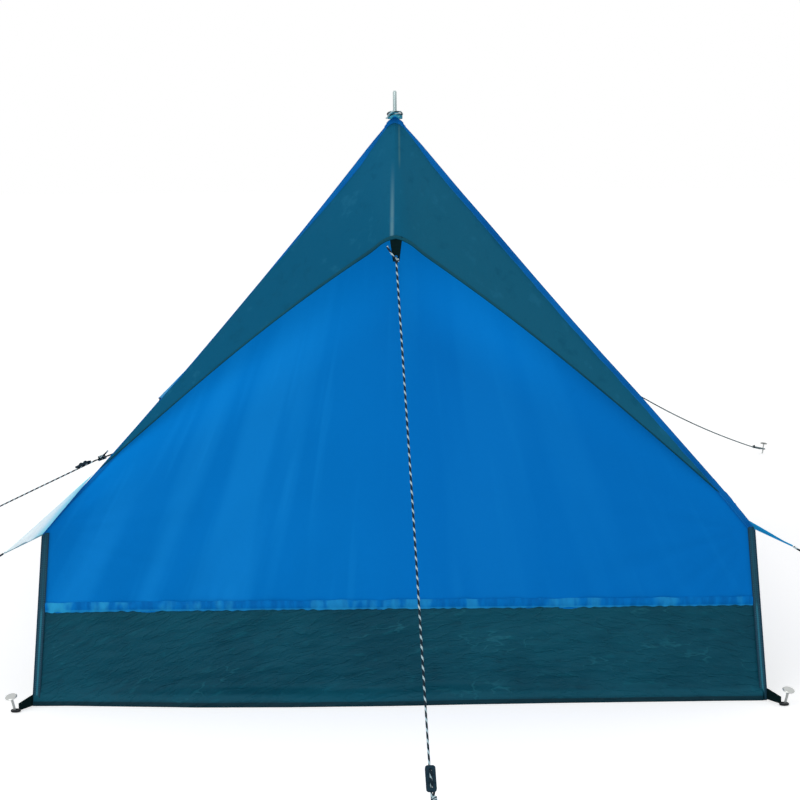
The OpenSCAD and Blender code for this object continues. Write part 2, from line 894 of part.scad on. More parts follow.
// A peg that leans towards out, with its axis over the point at when it is z high
module leaning_peg(at, z, out) {
    way = unit(out);
    foot = at - way * z * tan(peg_lean);
    along([foot[0], foot[1], 0], [way[0] * sin(peg_lean), way[1] * sin(peg_lean), cos(peg_lean)])
        peg();
}

module corner_peg(sx, sy) {
    mid = ring_lift + ring_h / 2;
    slack = ring_r - peg_r / cos(peg_lean) - ring_h / 2 * tan(peg_lean) - run_gap;
    out = [sx * corner_out[0], sy * corner_out[1]];
    leaning_peg([sx * corner_ring_at[0], sy * corner_ring_at[1]] + slack * out, mid, out);
}

// A peg inside the end of a guy line, which pulls on it from the point far of the loop
module guy_peg(far, out) {
    way = unit(out);
    leaning_peg(
        [far[0], far[1]] - way * (peg_r + cord_r + peg_cord_gap) / cos(peg_lean), far[2], way
    );
}

module peg_corner_rear_left() { corner_peg(-1, -1); }

module peg_corner_rear_right() { corner_peg(1, -1); }

module peg_corner_front_left() { corner_peg(-1, 1); }

module peg_corner_front_right() { corner_peg(1, 1); }

module peg_rear() { guy_peg(route_rear[9], [0, -1]); }

module peg_left_mid() { guy_peg(route_left_mid[7], [-1, 0]); }

module peg_rear_left() { guy_peg(route_rear_left[6], [-1, 0]); }

module peg_rear_right() { guy_peg(route_rear_right[6], [1, 0]); }

module peg_front_right() { guy_peg(route_front_right[7], [3, 5]); }

// ---- Line sliders ----

module rounded_plate(w, l, r) {
    square([w, l - 2 * r], center = true);
    square([w - 2 * r, l], center = true);
    for (x = [-1, 1], y = [-1, 1])
        translate([x * (w / 2 - r), y * (l / 2 - r)])
            circle(r = r, $fn = fine);
}

// A flat bar with three holes and two grip ribs, lying along Z on the -X side of the cord
module runner() {
    hole_step = runner_l / 2 - 7;
    color("#0a2c36")
        translate([-cord_r - run_gap, 0, 0])
            rotate([0, -90, 0])
                difference() {
                    union() {
                        linear_extrude(height = runner_t)
                            rounded_plate(runner_l, runner_w, 4);
                        for (x = [-1, 1])
                            translate([x * hole_step / 2 - 0.8, -runner_w / 2 + 1, runner_t - 0.2])
                                cube([1.6, runner_w - 2, 0.9]);
                    }
                    for (x = [-hole_step, 0, hole_step])
                        translate([x, 0, -1])
                            cylinder(d = runner_hole_d, h = runner_t + 3, $fn = fine);
                }
}

// Puts a line slider on the straight stretch after the route's point i, f of the way along it
module runner_on(route, i, f) {
    a = route[i];
    b = route[i + 1];
    along(a + f * (b - a), b - a) runner();
}

module runner_rear() { runner_on(route_rear, 4, 0.84); }

module runner_left_mid() { runner_on(route_left_mid, 0, 0.23); }

module runner_rear_left() { runner_on(route_rear_left, 1, 0.75); }

module runner_rear_right() { runner_on(route_rear_right, 1, 0.75); }

// ---- Guy lines ----

module guy_rear() { cord(route_rear); }

module guy_left_mid() { cord(route_left_mid); }

module guy_rear_left() { cord(route_rear_left); }

module guy_rear_right() { cord(route_rear_right); }

module guy_front_right() { cord(route_front_right); }

groundsheet();
tub_rear();
tub_front();
tub_sides();
side_walls();
roof_left();
roof_right();
ridge_tape();
ridge_tabs();
ridge_eyelets();
rear_wall();
rear_vent_net();
rear_hood_left();
rear_hood_right();
hood_tab();
slope_tapes();
corner_tapes();
rear_seam_band();
front_walls();
sill_zip_tape();
rear_wings();
front_wings();
eave_tabs();
floor_loops();
corner_rings();
side_rings();
pole_feet();
pole_lower();
pole_middle();
pole_top();
door_tie_loops();
door_toggles();
door_left();
door_right();
zip_chain_left();
zip_chain_right();
zip_slider_centre();
zip_slider_left();
zip_slider_right();
zip_pull_centre();
zip_pull_left();
zip_pull_right();
guy_rear();
guy_left_mid();
guy_rear_left();
guy_rear_right();
guy_front_right();
runner_rear();
runner_left_mid();
runner_rear_left();
runner_rear_right();
peg_corner_rear_left();
peg_corner_rear_right();
peg_corner_front_left();
peg_corner_front_right();
peg_rear();
peg_left_mid();
peg_rear_left();
peg_rear_right();
peg_front_right();
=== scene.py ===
# %% [markdown]
# # A small ridge tent, pitched on flat ground
# The frame comes from CAD: poles, pegs, rings, sliders and the flat panels that MuJoCo uses.
# This script keeps the hard pieces, and makes the cloth, tapes, zips and cords that people see.

# %% Load the frame
import json
import math

import bpy
import numpy as np
from mathutils import Matrix, Vector


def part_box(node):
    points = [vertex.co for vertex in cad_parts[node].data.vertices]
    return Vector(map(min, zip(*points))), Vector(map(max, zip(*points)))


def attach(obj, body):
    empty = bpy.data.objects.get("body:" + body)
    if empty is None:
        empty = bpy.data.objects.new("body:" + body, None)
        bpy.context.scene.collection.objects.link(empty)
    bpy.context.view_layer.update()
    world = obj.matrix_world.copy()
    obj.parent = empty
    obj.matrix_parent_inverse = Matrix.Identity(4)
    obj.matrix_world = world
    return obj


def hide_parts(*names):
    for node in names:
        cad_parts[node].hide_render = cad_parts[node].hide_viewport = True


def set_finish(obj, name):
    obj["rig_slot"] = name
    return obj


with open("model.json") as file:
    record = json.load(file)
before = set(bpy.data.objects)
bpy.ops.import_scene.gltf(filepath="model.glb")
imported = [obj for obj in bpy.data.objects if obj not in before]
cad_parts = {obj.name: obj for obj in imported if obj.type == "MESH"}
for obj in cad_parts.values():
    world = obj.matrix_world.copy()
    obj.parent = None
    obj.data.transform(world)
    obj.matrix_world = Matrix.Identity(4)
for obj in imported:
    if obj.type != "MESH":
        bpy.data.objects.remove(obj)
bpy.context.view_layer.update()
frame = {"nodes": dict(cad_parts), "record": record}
nodes = frame["nodes"]

# %% [markdown]
# ## Sizes that the cloth has to meet
# Sewn cloth meets poles and rings at fixed places, so its sizes are read from the CAD nodes.
# Typing them in again would work once, and then go wrong as soon as the frame changes.

# %% Sizes from the frame
EAVE_X, END, RIDGE_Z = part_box("roof_right")[1]
EAVE_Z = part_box("corner_tapes")[1].z
FLOOR_X, _, TUB_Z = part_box("tub_sides")[1]
FALL = (RIDGE_Z - EAVE_Z) / EAVE_X
LEAN = (FLOOR_X - EAVE_X) / EAVE_Z
OUT_X, OUT_Z = 0.758, 0.652  # the way a roof slope faces
SEWN = 0.0006
RIDGE_SAG = 0.016
SIDES = (("left", -1), ("right", 1))
ENDS = (("rear", -1), ("front", 1))
CUT_DOWN = (0, 0.07, 0.18, 0.27, 0.39, 0.50, 0.58, 0.67, 0.76, 0.86, 0.93, 1)
CUT_MM = {
    "left": (0, 0.6, 4.8, 7.4, 8.6, 8.9, 8.5, 7.2, 4.6, 1.4, -1.8, -2.8),
    "front left": (0, 0.6, 4.8, 7.4, 8.6, 8.9, 9.5, 9.5, 9.0, 7.2, 5.0, 2.8),
    "right": (0, -1.4, 0.8, 0.6, 1.6, 1.4, 0.0, -2.6, -3.4, -4.2, -4.4, -2.0),
}
print("ridge %.3f, eave %.3f by %.3f, half length %.3f" % (RIDGE_Z, EAVE_X, EAVE_Z, END))


def slope_x(z):
    return (RIDGE_Z - z) / FALL


def side_x(z):
    return FLOOR_X - LEAN * z


def hollow(z, sx, front=False):
    """How far the roof's end edge curves in from a straight line, as cut cloth does under tension."""
    edge = "right" if sx > 0 else "front left" if front else "left"
    return np.interp((RIDGE_Z - z) / (RIDGE_Z - EAVE_Z), CUT_DOWN, CUT_MM[edge]) / 1000


def end_x(z, sx, front=False):
    return np.where(z > EAVE_Z, slope_x(z) - hollow(z, sx, front), side_x(z))


def by_side(w, left, right):
    return np.where(w < 0, left, right)


def end_x_both(z, x):
    return by_side(x, end_x(z, -1), end_x(z, 1))


# %% [markdown]
# ## Camera
# The tent is seen square on to its closed end, from about ridge height and a little tilted down.
# A long lens keeps the far end nearly as wide as the near one. The small roll matches a camera
# that was not quite level, which is easier than making a crooked tent.

# %% Camera
view = bpy.data.cameras.new("camera")
view.lens = 105.12
camera = bpy.data.objects.new("camera", view)
bpy.context.scene.collection.objects.link(camera)
bpy.context.scene.camera = camera
camera_at, looks_down = (0, -4.668, 0.9268), 6.62
camera.matrix_world = Matrix.Translation(camera_at)
for degrees, axis in ((-0.065, "Z"), (90 - looks_down, "X"), (-0.49, "Z")):
    camera.matrix_world = camera.matrix_world @ Matrix.Rotation(math.radians(degrees), 4, axis)
print("lens %.0f mm" % view.lens)

# %% [markdown]
# ## Guy lines
# A guy line is a braided cord of 3 mm. It is a tube that follows a smooth path through a few
# points, and it carries its own UV map: once round is 1, and the other way is metres along.
# With that, the braid follows the cord however it bends. A curve object could be bevelled
# instead, but it would need another step to get such a map.

# %% Tubes along a path
CORD_R = 0.0015


def smooth_path(points, step=0.008):
    p = [np.array(q, float) for q in points]
    p = [2 * p[0] - p[1]] + p + [2 * p[-1] - p[-2]]
    out = []
    for a, b, c, d in zip(p, p[1:], p[2:], p[3:]):
        k1, k2, k3 = (max(np.linalg.norm(n - m), 1e-6) ** 0.5 for m, n in ((a, b), (b, c), (c, d)))
        m1 = (c - b) + k2 * ((b - a) / k1 - (c - a) / (k1 + k2))
        m2 = (c - b) + k2 * ((d - c) / k3 - (d - b) / (k2 + k3))
        count = max(2, int(np.linalg.norm(c - b) / step))
        for t in np.arange(count) / count:
            out.append(
                (2 * t**3 - 3 * t**2 + 1) * b + (t**3 - 2 * t**2 + t) * m1
                + (3 * t**2 - 2 * t**3) * c + (t**3 - t**2) * m2
            )
    return np.array(out + [p[-2]])


def new_piece(name, points, faces, uvs):
    mesh = bpy.data.meshes.new(name)
    mesh.from_pydata([tuple(p) for p in points], [], faces)
    layer = mesh.uv_layers.new(name="UVMap")
    layer.data.foreach_set("uv", np.array(uvs, np.float32).ravel())
    mesh.update()
    piece = bpy.data.objects.new(name, mesh)
    bpy.context.scene.collection.objects.link(piece)
    return piece


def reach_along(line):
    return np.concatenate(([0], np.cumsum(np.linalg.norm(np.diff(line, axis=0), axis=1))))


def quads(reach, marks, row):
    """The faces between rows of points, with a UV map of marks one way and metres the other."""
    faces, uvs = [], []
    for i, (a, b) in enumerate(zip(reach, reach[1:])):
        for j, (left, right) in enumerate(zip(marks, marks[1:])):
            k = (j + 1) % row
            faces.append((i * row + j, i * row + k, (i + 1) * row + k, (i + 1) * row + j))
            uvs += [(left, a), (right, a), (right, b), (left, b)]
    return faces, uvs


def tube(name, path, radius=CORD_R, sides=10):
    path = np.array(path, float)
    ahead = np.gradient(path, axis=0)
    ahead /= np.linalg.norm(ahead, axis=1)[:, None]
    side = np.cross(ahead[0], (0.1, 0.2, 1.0))
    turn = 2 * np.pi * np.arange(sides) / sides
    points = []
    for spot, way in zip(path, ahead):
        side = side - way * (side @ way)
        side /= np.linalg.norm(side)
        up = np.cross(way, side)
        points += [spot + radius * (np.cos(a) * side + np.sin(a) * up) for a in turn]
    reach = reach_along(path)
    faces, uvs = quads(reach, np.arange(sides + 1) / sides, sides)
    ring, last = list(range(sides)), (len(path) - 1) * sides
    faces += [tuple(ring[::-1]), tuple(last + j for j in ring)]
    uvs += [(j / sides, 0) for j in ring[::-1]] + [(j / sides, reach[-1]) for j in ring]
    piece = new_piece(name, points, faces, uvs)
    for face in piece.data.polygons:
        face.use_smooth = len(face.vertices) == 4
    return piece, float(reach[-1])


# %% [markdown]
# ## Knots
# Each line is tied off with a few turns round itself. Every turn of a real knot can be traced,
# but from here a knot reads as a short wound lump with a tail, so a helix does the same work.


# %% Knots
def wound_knot(name, at, axis, turns, inner, tail=None):
    at, axis = np.array(at, float), np.array(axis, float)
    axis /= np.linalg.norm(axis)
    a = np.cross(axis, (0.3, 0.1, 1))
    a /= np.linalg.norm(a)
    b = np.cross(axis, a)
    rise, radius = 2.05 * CORD_R, inner + CORD_R
    path = []
    for t in np.linspace(0, turns, int(turns * 14)):
        w = 2 * np.pi * t
        path.append(at + axis * rise * (t - turns / 2) + radius * (np.cos(w) * a + np.sin(w) * b))
    if tail is not None:
        start = path[-1]
        path += [start + tail * s + np.array((0, 0, 0.004 * s * (1 - s))) for s in (0.25, 0.5, 0.75, 1.0)]
    return tube(name, path, sides=8)[0]


ROUTES_MM = {
    "guy_rear": [
        (0, -1068.5, 730.2), (0, -1073, 729.8), (11, -1240, 549), (22, -1406, 368),
        (31, -1553, 211), (41, -1703, 52), (44, -1726, 27), (45, -1740, 12), (47, -1744, 12),
        (51, -1746, 12), (55, -1744, 12), (57, -1740, 12), (50, -1723, 30), (47, -1709, 45),
        (45, -1699, 56),
    ],
    "guy_left_mid": [
        (-608, 0, 268.7), (-733, 89, 203), (-860, 179, 136), (-985, 268, 71), (-1075, 331, 23),
        (-1100, 344, 12), (-1104, 346, 12), (-1106, 350, 12), (-1104, 354, 12), (-1100, 356, 12),
        (-1078, 340, 24), (-1050, 320, 39), (-1040, 313, 44),
    ],
    "guy_rear_left": [
        (-620.5, -1050, 269.5), (-750, -1036, 190), (-950, -1015, 81), (-1070, -1004, 22),
        (-1100, -1006, 12), (-1104, -1004, 12), (-1106, -1000, 12), (-1104, -996, 12),
        (-1100, -994, 12), (-1072, -997, 22), (-1045, -1001, 33), (-1035, -1003, 38),
    ],
    "guy_front_right": [
        (583.5, 1000, 278.5), (696, 1232, 203), (809, 1465, 133), (922, 1697, 69),
        (1018, 1893, 19), (1035, 1929, 12), (1038, 1932, 12), (1043, 1931, 12),
        (1046, 1928, 12), (1045, 1923, 12), (1030, 1898, 19), (1009, 1862, 27), (1004, 1852, 29),
    ],
}
ROUTES_MM["guy_rear_right"] = [(-x, y, z) for x, y, z in ROUTES_MM["guy_rear_left"]]

# %% Guy lines and their knots
AT_HEAD = {
    "guy_rear": {
        "tail": [(0.0010, -1.0740, 0.7245), (-0.0030, -1.0755, 0.7305), (-0.0075, -1.0750, 0.7375),
                 (-0.0120, -1.0742, 0.7440), (-0.0140, -1.0738, 0.7480)],
        "head_knot": ((0.0008, -1.0742, 0.7265), (0.05, -0.68, -0.73), 1.6, 0.0008)},
    "guy_left_mid": {
        "head_knot": ((-0.5970, 0, 0.2735), (0.94, 0, 0.34), 5.2, 0.0024),
        "tail": [(-0.5990, -0.0055, 0.2755), (-0.5945, -0.0065, 0.2785), (-0.5890, -0.0065, 0.2825),
                 (-0.5835, -0.0065, 0.2885)]},
}
KNOT_INNER, TAIL_LENGTH = 0.0012, 0.008
guy_lines, knots = [], []
for name, route in ROUTES_MM.items():
    route = [np.array(p) / 1000 for p in route]
    path = smooth_path(route)
    line, length = tube(name + "_cord", path)
    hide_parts(name)
    back = route[-1] - route[-2]
    beside = route[-1] + (KNOT_INNER if route[-1][0] < 0 else -KNOT_INNER, 0, 0)
    tail = back / np.linalg.norm(back) * TAIL_LENGTH + (0.003, 0, 0.002)
    turns = 1.6 if name == "guy_front_right" else 3.2
    with_line = [wound_knot(name + "_peg_knot", beside, back, turns, KNOT_INNER, tail)]
    for what, shape in AT_HEAD.get(name, {}).items():
        if what == "tail":
            with_line.append(tube(name + "_tail", smooth_path(shape, 0.003))[0])
        else:
            with_line.append(wound_knot(name + "_head_knot", *shape))
    for piece in [line] + with_line:
        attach(piece, "tent")
    knots += with_line
    guy_lines.append(line)
    print("%s: %.3f m" % (name, length))

# %% [markdown]
# ## Cloth from a grid
# A sewn panel is flat cloth pulled tight between its seams. One way is to simulate the pull. A
# pitched tent moves so little, though, that a grid whose points are put in place by a formula
# gives the same picture and never changes from run to run. Each panel gets a thin wall, and a
# UV map in metres so that its weave has the same size everywhere.


# %% Panels of cloth
def ramp(value, over=1.0):
    return np.clip(value / over, 0, 1)


def drawn_waves(seed, count):
    draw = np.random.RandomState(seed)
    return zip(*(draw.uniform(low, high, count) for low, high in ((0, np.pi), (0, 2 * np.pi), (0.7, 1.5))))


def waves(a, b, size, seed, count=9):
    total = np.zeros_like(a)
    for angle, phase, stretch in drawn_waves(seed, count):
        total += np.sin(2 * np.pi * (a * np.cos(angle) + b * np.sin(angle)) / (size * stretch) + phase)
    return total / np.sqrt(count)


def creases(a, b, size, seed, count=7):
    total = np.zeros_like(a)
    for angle, phase, stretch in drawn_waves(seed, count):
        along, across = a * np.cos(angle) + b * np.sin(angle), b * np.cos(angle) - a * np.sin(angle)
        bend = 0.35 * np.sin(2 * np.pi * across / (2.3 * size) + 2 * phase)
        total += 1 - 2 * np.abs(np.sin(np.pi * along / (size * stretch) + phase + bend))
    return total / count


def fan(a, b, corner, folds, reach, seed):
    draw = np.random.RandomState(seed)
    away = np.hypot(a - corner[0], b - corner[1])
    turn = folds * np.arctan2(b - corner[1], a - corner[0])
    total = 0.6 * np.sin(turn + draw.uniform(0, 6)) + 0.4 * np.sin(1.7 * turn + draw.uniform(0, 6))
    return total * ramp(away, 0.06) * np.exp(-away / reach)


def finish_sheet(piece, thick):
    bpy.ops.object.select_all(action="DESELECT")
    bpy.context.view_layer.objects.active = piece
    piece.select_set(True)
    bpy.ops.object.mode_set(mode="EDIT")
    bpy.ops.mesh.select_all(action="SELECT")
    bpy.ops.mesh.remove_doubles(threshold=1e-6)
    bpy.ops.mesh.normals_make_consistent(inside=False)
    bpy.ops.object.mode_set(mode="OBJECT")
    wall = piece.modifiers.new("thickness", "SOLIDIFY")
    wall.thickness, wall.offset, wall.use_even_offset = thick, 0, False
    bpy.ops.object.modifier_apply(modifier=wall.name)
    bpy.ops.object.shade_smooth_by_angle(angle=math.radians(50))
    return piece


def cut_away(mesh, unwanted):
    bpy.ops.object.mode_set(mode="EDIT")
    bpy.ops.mesh.select_all(action="DESELECT")
    bpy.ops.mesh.select_mode(type="FACE")
    bpy.ops.object.mode_set(mode="OBJECT")
    for face in mesh.polygons:
        face.select = bool(unwanted(face.center))
    bpy.ops.object.mode_set(mode="EDIT")
    bpy.ops.mesh.delete(type="FACE")
    bpy.ops.mesh.select_mode(type="VERT")
    bpy.ops.object.mode_set(mode="OBJECT")


def cloth(name, across, along, place, flat, thick=SEWN, cut=None):
    bpy.ops.object.select_all(action="DESELECT")
    bpy.ops.mesh.primitive_grid_add(x_subdivisions=across, y_subdivisions=along, size=2)
    piece = bpy.context.object
    mesh = piece.data
    piece.name = mesh.name = name
    co = np.empty(3 * len(mesh.vertices))
    mesh.vertices.foreach_get("co", co)
    u, v = (co.reshape(-1, 3)[:, :2].T + 1) / 2
    where = np.column_stack(place(u, v))
    mesh.vertices.foreach_set("co", where.ravel())
    corners = np.empty(len(mesh.loops), int)
    mesh.loops.foreach_get("vertex_index", corners)
    spread = np.column_stack(flat(u, v, where))
    mesh.uv_layers.active.data.foreach_set("uv", spread[corners].astype(np.float32).ravel())
    mesh.update()
    if cut is not None:
        cut_away(mesh, cut)
    return finish_sheet(piece, thick)


def area_of(piece):
    return sum(face.area for face in piece.data.polygons) / 2


tent_parts = []


def on_left(sx, *names):
    """One CAD node holds both sides, so only the left piece takes its place."""
    return names if sx < 0 else ()


def wear(piece, slot, stands_for=(), body="tent"):
    """Puts a piece on its body, with its finish and the CAD nodes that it takes the place of."""
    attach(piece, body)
    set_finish(piece, slot)
    if stands_for:
        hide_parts(*stands_for)
    tent_parts.append(piece)
    return piece


def sew(piece, slot, flat, held, *stands_for, body="tent", rests_on=("pole_top",), area=None):
    wear(piece, slot, stands_for, body)
    print("%s: %.2f by %.2f m, %.3f m2 of cloth" % (piece.name, *flat, area_of(piece)))
    return piece


# %% [markdown]
# ## Rear wall
# The closed end is one panel of thin coated cloth. It is pulled from the two eaves and the
# ridge, so long shallow folds fan out from those corners, and it is gathered where it meets the
# tub. The vent is a hole under the hood, and its net is sewn over it.

# %% Rear wall
WALL_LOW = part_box("rear_wall")[0].z
WALL_SEED = 5
net_low, net_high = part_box("rear_vent_net")
hole_low = net_low.z + 0.010
hole_half = net_high.x - 0.022
pulled_from = (
    ((-EAVE_X, EAVE_Z), 0.0014, 19, 0.26), ((EAVE_X, EAVE_Z), 0.0018, 17, 0.26),
    ((-EAVE_X, WALL_LOW), 0.0012, 15, 0.20), ((EAVE_X, WALL_LOW), 0.0014, 15, 0.20),
)


def vent_hole(point):
    return point.z > hole_low and abs(point.x) < hole_half - (point.z - hole_low) / FALL


def wall_folds(x, z):
    folds = 0
    for k, (corner, depth, count, reach) in enumerate(pulled_from):
        folds = folds + depth * fan(x, z, corner, count, reach, WALL_SEED + k)
    gathers = waves(x, 0.15 * z, 0.055, WALL_SEED + 4) * np.exp(-(z - WALL_LOW) / 0.085)
    folds += 0.0014 * gathers + 0.0010 * waves(x, 0.3 * z, 0.16, WALL_SEED + 5)
    along_slope = ramp(-x - 0.05, 0.25)
    folds += 0.0022 * along_slope * waves(OUT_X * x - OUT_Z * z, 0.12 * z, 0.085, WALL_SEED + 6)
    return folds * ramp(end_x_both(z, x) - np.abs(x), 0.03) * ramp(z - WALL_LOW, 0.012)


def rear_wall_place(u, v):
    z = WALL_LOW + v * (RIDGE_Z - 0.003 - WALL_LOW)
    x = (2 * u - 1) * (end_x_both(z, 2 * u - 1) - 0.0015)
    return x, -END + 0.0012 + wall_folds(x, z), z


def facing_flat(u, v, p):
    return p[:, 0], p[:, 2]


def level_flat(u, v, p):
    return p[:, 0], p[:, 1]


def sideways_flat(u, v, p):
    return p[:, 1], p[:, 2]


rear_wall = cloth("rear_wall_cloth", 150, 110, rear_wall_place, facing_flat, cut=vent_hole)
sew(rear_wall, "wall_cloth", (1.17, 0.80), "stretched", "rear_wall", area=0.545)

# %% [markdown]
# ## Hood over the vent
# The hood is one piece with a soft crease down its middle. Its lower edge is bound, and it
# curves up a little because cloth that is pulled from three points always does. The crease is
# rounded by taking the root of u squared plus a small amount in place of the plain u.

# %% Hood
hood_tip = Vector((0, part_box("rear_hood_right")[0].y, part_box("hood_tab")[1].z - 0.005))
HOOD_FACE = -END - 0.0016
HOOD_TOP_HALF, HOOD_END_IN = 0.0035, 0.0165
HOOD_END_LEFT, HOOD_END_RIGHT = 0.392, 0.343
CREASE_ROUND, TIP_ROUND = 0.035, 0.008
hood_top = np.array((0, HOOD_FACE, RIDGE_Z - 0.0110))
HOOD_BARE_Z = (0.34, 0.70, 0.745, 0.80, 0.87, 0.90, 0.94)
HOOD_BARE_LEFT = (0.0020, 0.0020, 0.0040, 0.0090, 0.0130, 0.0080, 0.0040)
HOOD_BARE_RIGHT = (0.0120, 0.0125, 0.0125, 0.0125, 0.0125, 0.0085, 0.0040)


def hood_point(u, v):
    w = 2 * u - 1
    a = np.abs(w)
    soft = (np.sqrt(a * a + CREASE_ROUND**2) - CREASE_ROUND) / (math.sqrt(1 + CREASE_ROUND**2) - CREASE_ROUND)
    side_z = by_side(w, HOOD_END_LEFT, HOOD_END_RIGHT)
    side_xx = slope_x(side_z) - HOOD_END_IN
    foot = np.column_stack((np.sign(w) * side_xx, np.full_like(w, HOOD_FACE), side_z))
    tip = np.array(hood_tip)
    low = tip + a[:, None] * (foot - tip)
    low[:, 1] = tip[1] + soft * (HOOD_FACE - tip[1])
    rise = by_side(w, 0.080, 0.072) * a * (1 - a)
    blunt = (np.sqrt(a * a + TIP_ROUND**2) - a) * (side_z - tip[2])
    low[:, 2] += rise + blunt + 0.0030 * np.exp(-(((a - 0.045) / 0.025) ** 2))
    top = hood_top + 0 * low
    top[:, 0] += w * HOOD_TOP_HALF
    point = top + v[:, None] * (low - top)
    z = point[:, 2]
    bare = by_side(w, np.interp(z, HOOD_BARE_Z, HOOD_BARE_LEFT), np.interp(z, HOOD_BARE_Z, HOOD_BARE_RIGHT))
    edge_x = slope_x(z) - by_side(w, hollow(z, -1), hollow(z, 1)) - bare
    straight_x = HOOD_TOP_HALF + (hood_top[2] - z) / (hood_top[2] - side_z) * (side_xx - HOOD_TOP_HALF)
    point[:, 0] += np.sign(w) * (edge_x - straight_x) * a**3
    point[:, 1] += 0.010 * np.sin(np.pi * ramp(a)) * v
    ripple = 0.0016 * fan(point[:, 0], point[:, 2], (0, hood_tip.z), 13, 0.16, 31)
    ripple += 0.0009 * waves(point[:, 0], point[:, 2], 0.14, 32)
    point[:, 1] += ripple * ramp(1 - a, 0.1) * ramp(v, 0.1)
    return point


def hood_place(u, v):
    return hood_point(u, 1 - v).T


hood = cloth("hood_cloth", 120, 60, hood_place, facing_flat)
sew(hood, "hood_cloth", (0.75, 0.32), "stretched", "rear_hood_left", "rear_hood_right", area=0.118)

# %% [markdown]
# ## Tapes and bindings
# Raw edges are folded into a narrow tape and sewn. A tape is a strip that follows a line: its
# UV map runs 0 to 1 across it and in metres along it, so rows of stitches stay straight.


# %% Tapes
def ribbon(name, line, side, width, thick=0.0012, bulge=0.0, columns=6):
    line = np.array(line, float)
    side = np.broadcast_to(np.array(side, float), line.shape)
    side = side / np.linalg.norm(side, axis=1)[:, None]
    up = np.cross(np.gradient(line, axis=0), side)
    up /= np.linalg.norm(up, axis=1)[:, None]
    width = np.broadcast_to(np.array(width, float), (len(line),))
    across = np.linspace(-0.5, 0.5, columns + 1)
    points = [spot + way * s * wide + rise * bulge * (1 - 4 * s * s)
              for spot, way, rise, wide in zip(line, side, up, width) for s in across]
    return finish_sheet(new_piece(name, points, *quads(reach_along(line), across + 0.5, columns + 1)), thick)


def tape(name, line, side, width, slot, *stands_for, body="tent", **how):
    return wear(ribbon(name, line, side, width, **how), slot, stands_for, body)


def line_of(x, y, z):
    return np.column_stack(np.broadcast_arrays(x, y, z)).astype(float)


def line_between(a, b, count=30):
    a, b = np.array(a, float), np.array(b, float)
    return a + np.linspace(0, 1, count)[:, None] * (b - a)


u_edge = np.linspace(0, 1, 121)
hood_edge = hood_point(u_edge, np.ones(121))
hood_side = hood_point(u_edge, np.full(121, 0.97)) - hood_edge
tape("hood_binding", hood_edge + (0, -0.0008, 0), hood_side, 0.0060, "hood_cloth", thick=0.0020)

HEM_RIGHT, HEM_LEFT_Z, HEM_LEFT = 0.0105, (0.283, 0.33, 0.42, 0.50), (0.0035, 0.0040, 0.0075, 0.0130)
for end, sy in ENDS:
    for side, sx in SIDES:
        z = np.linspace(RIDGE_Z - 0.009, EAVE_Z, 90)
        wide = np.interp(z, HEM_LEFT_Z, HEM_LEFT) if sx < 0 else HEM_RIGHT
        x = sx * (slope_x(z) - (hollow(z, sx, sy > 0) + 0.0008) - wide / 2 / OUT_X)
        y = sy * (END + 0.0012) + sy * 0.0006 * waves(z, 0 * z, 0.02, 41 + sx)
        hem = tape("%s_slope_hem_%s" % (end, side), line_of(x, y, z), (sx * OUT_X, 0, OUT_Z), wide,
                   "slope_binding", thick=0.0018)
        z = np.linspace(EAVE_Z + 0.002, 0.0, 60)
        line = line_of(sx * (side_x(z) - 0.0055), sy * (END + 0.0010), z)
        corner = tape("%s_corner_binding_%s" % (end, side), line, (sx, 0, 0), 0.0110,
                      "corner_binding", thick=0.0022)
        line = line_of(sx * (side_x(z) + 0.0002), sy * (END - 0.005), z)
        tape("%s_corner_return_%s" % (end, side), line, (0, sy, 0), 0.0125, "corner_binding", thick=0.0022)
        if (sx, sy) == (-1, -1):
            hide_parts("slope_tapes")
            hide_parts("corner_tapes")
print("tapes:", len(tent_parts))

# %% [markdown]
# ## Tub
# The floor is woven plastic sheet. It is stiff, so it doesn't fold softly: it keeps short sharp
# creases from being packed. Those come from sums of sharp waves in place of round ones. Its
# rear wall is slack at the foot and lies a little outwards, and the floor reaches out to it.

# %% Tub walls
REAR_LIFT = 0.008
SLUMP_X = (-0.54, -0.33, -0.18, -0.02, 0.10, 0.26, 0.54)
SLUMP = (0.003, 0.022, 0.026, 0.024, 0.018, 0.013, 0.008)


def rear_slump(x):
    """How far the slack foot of the rear tub wall lies out from the tent's end."""
    return np.interp(x, SLUMP_X, SLUMP)


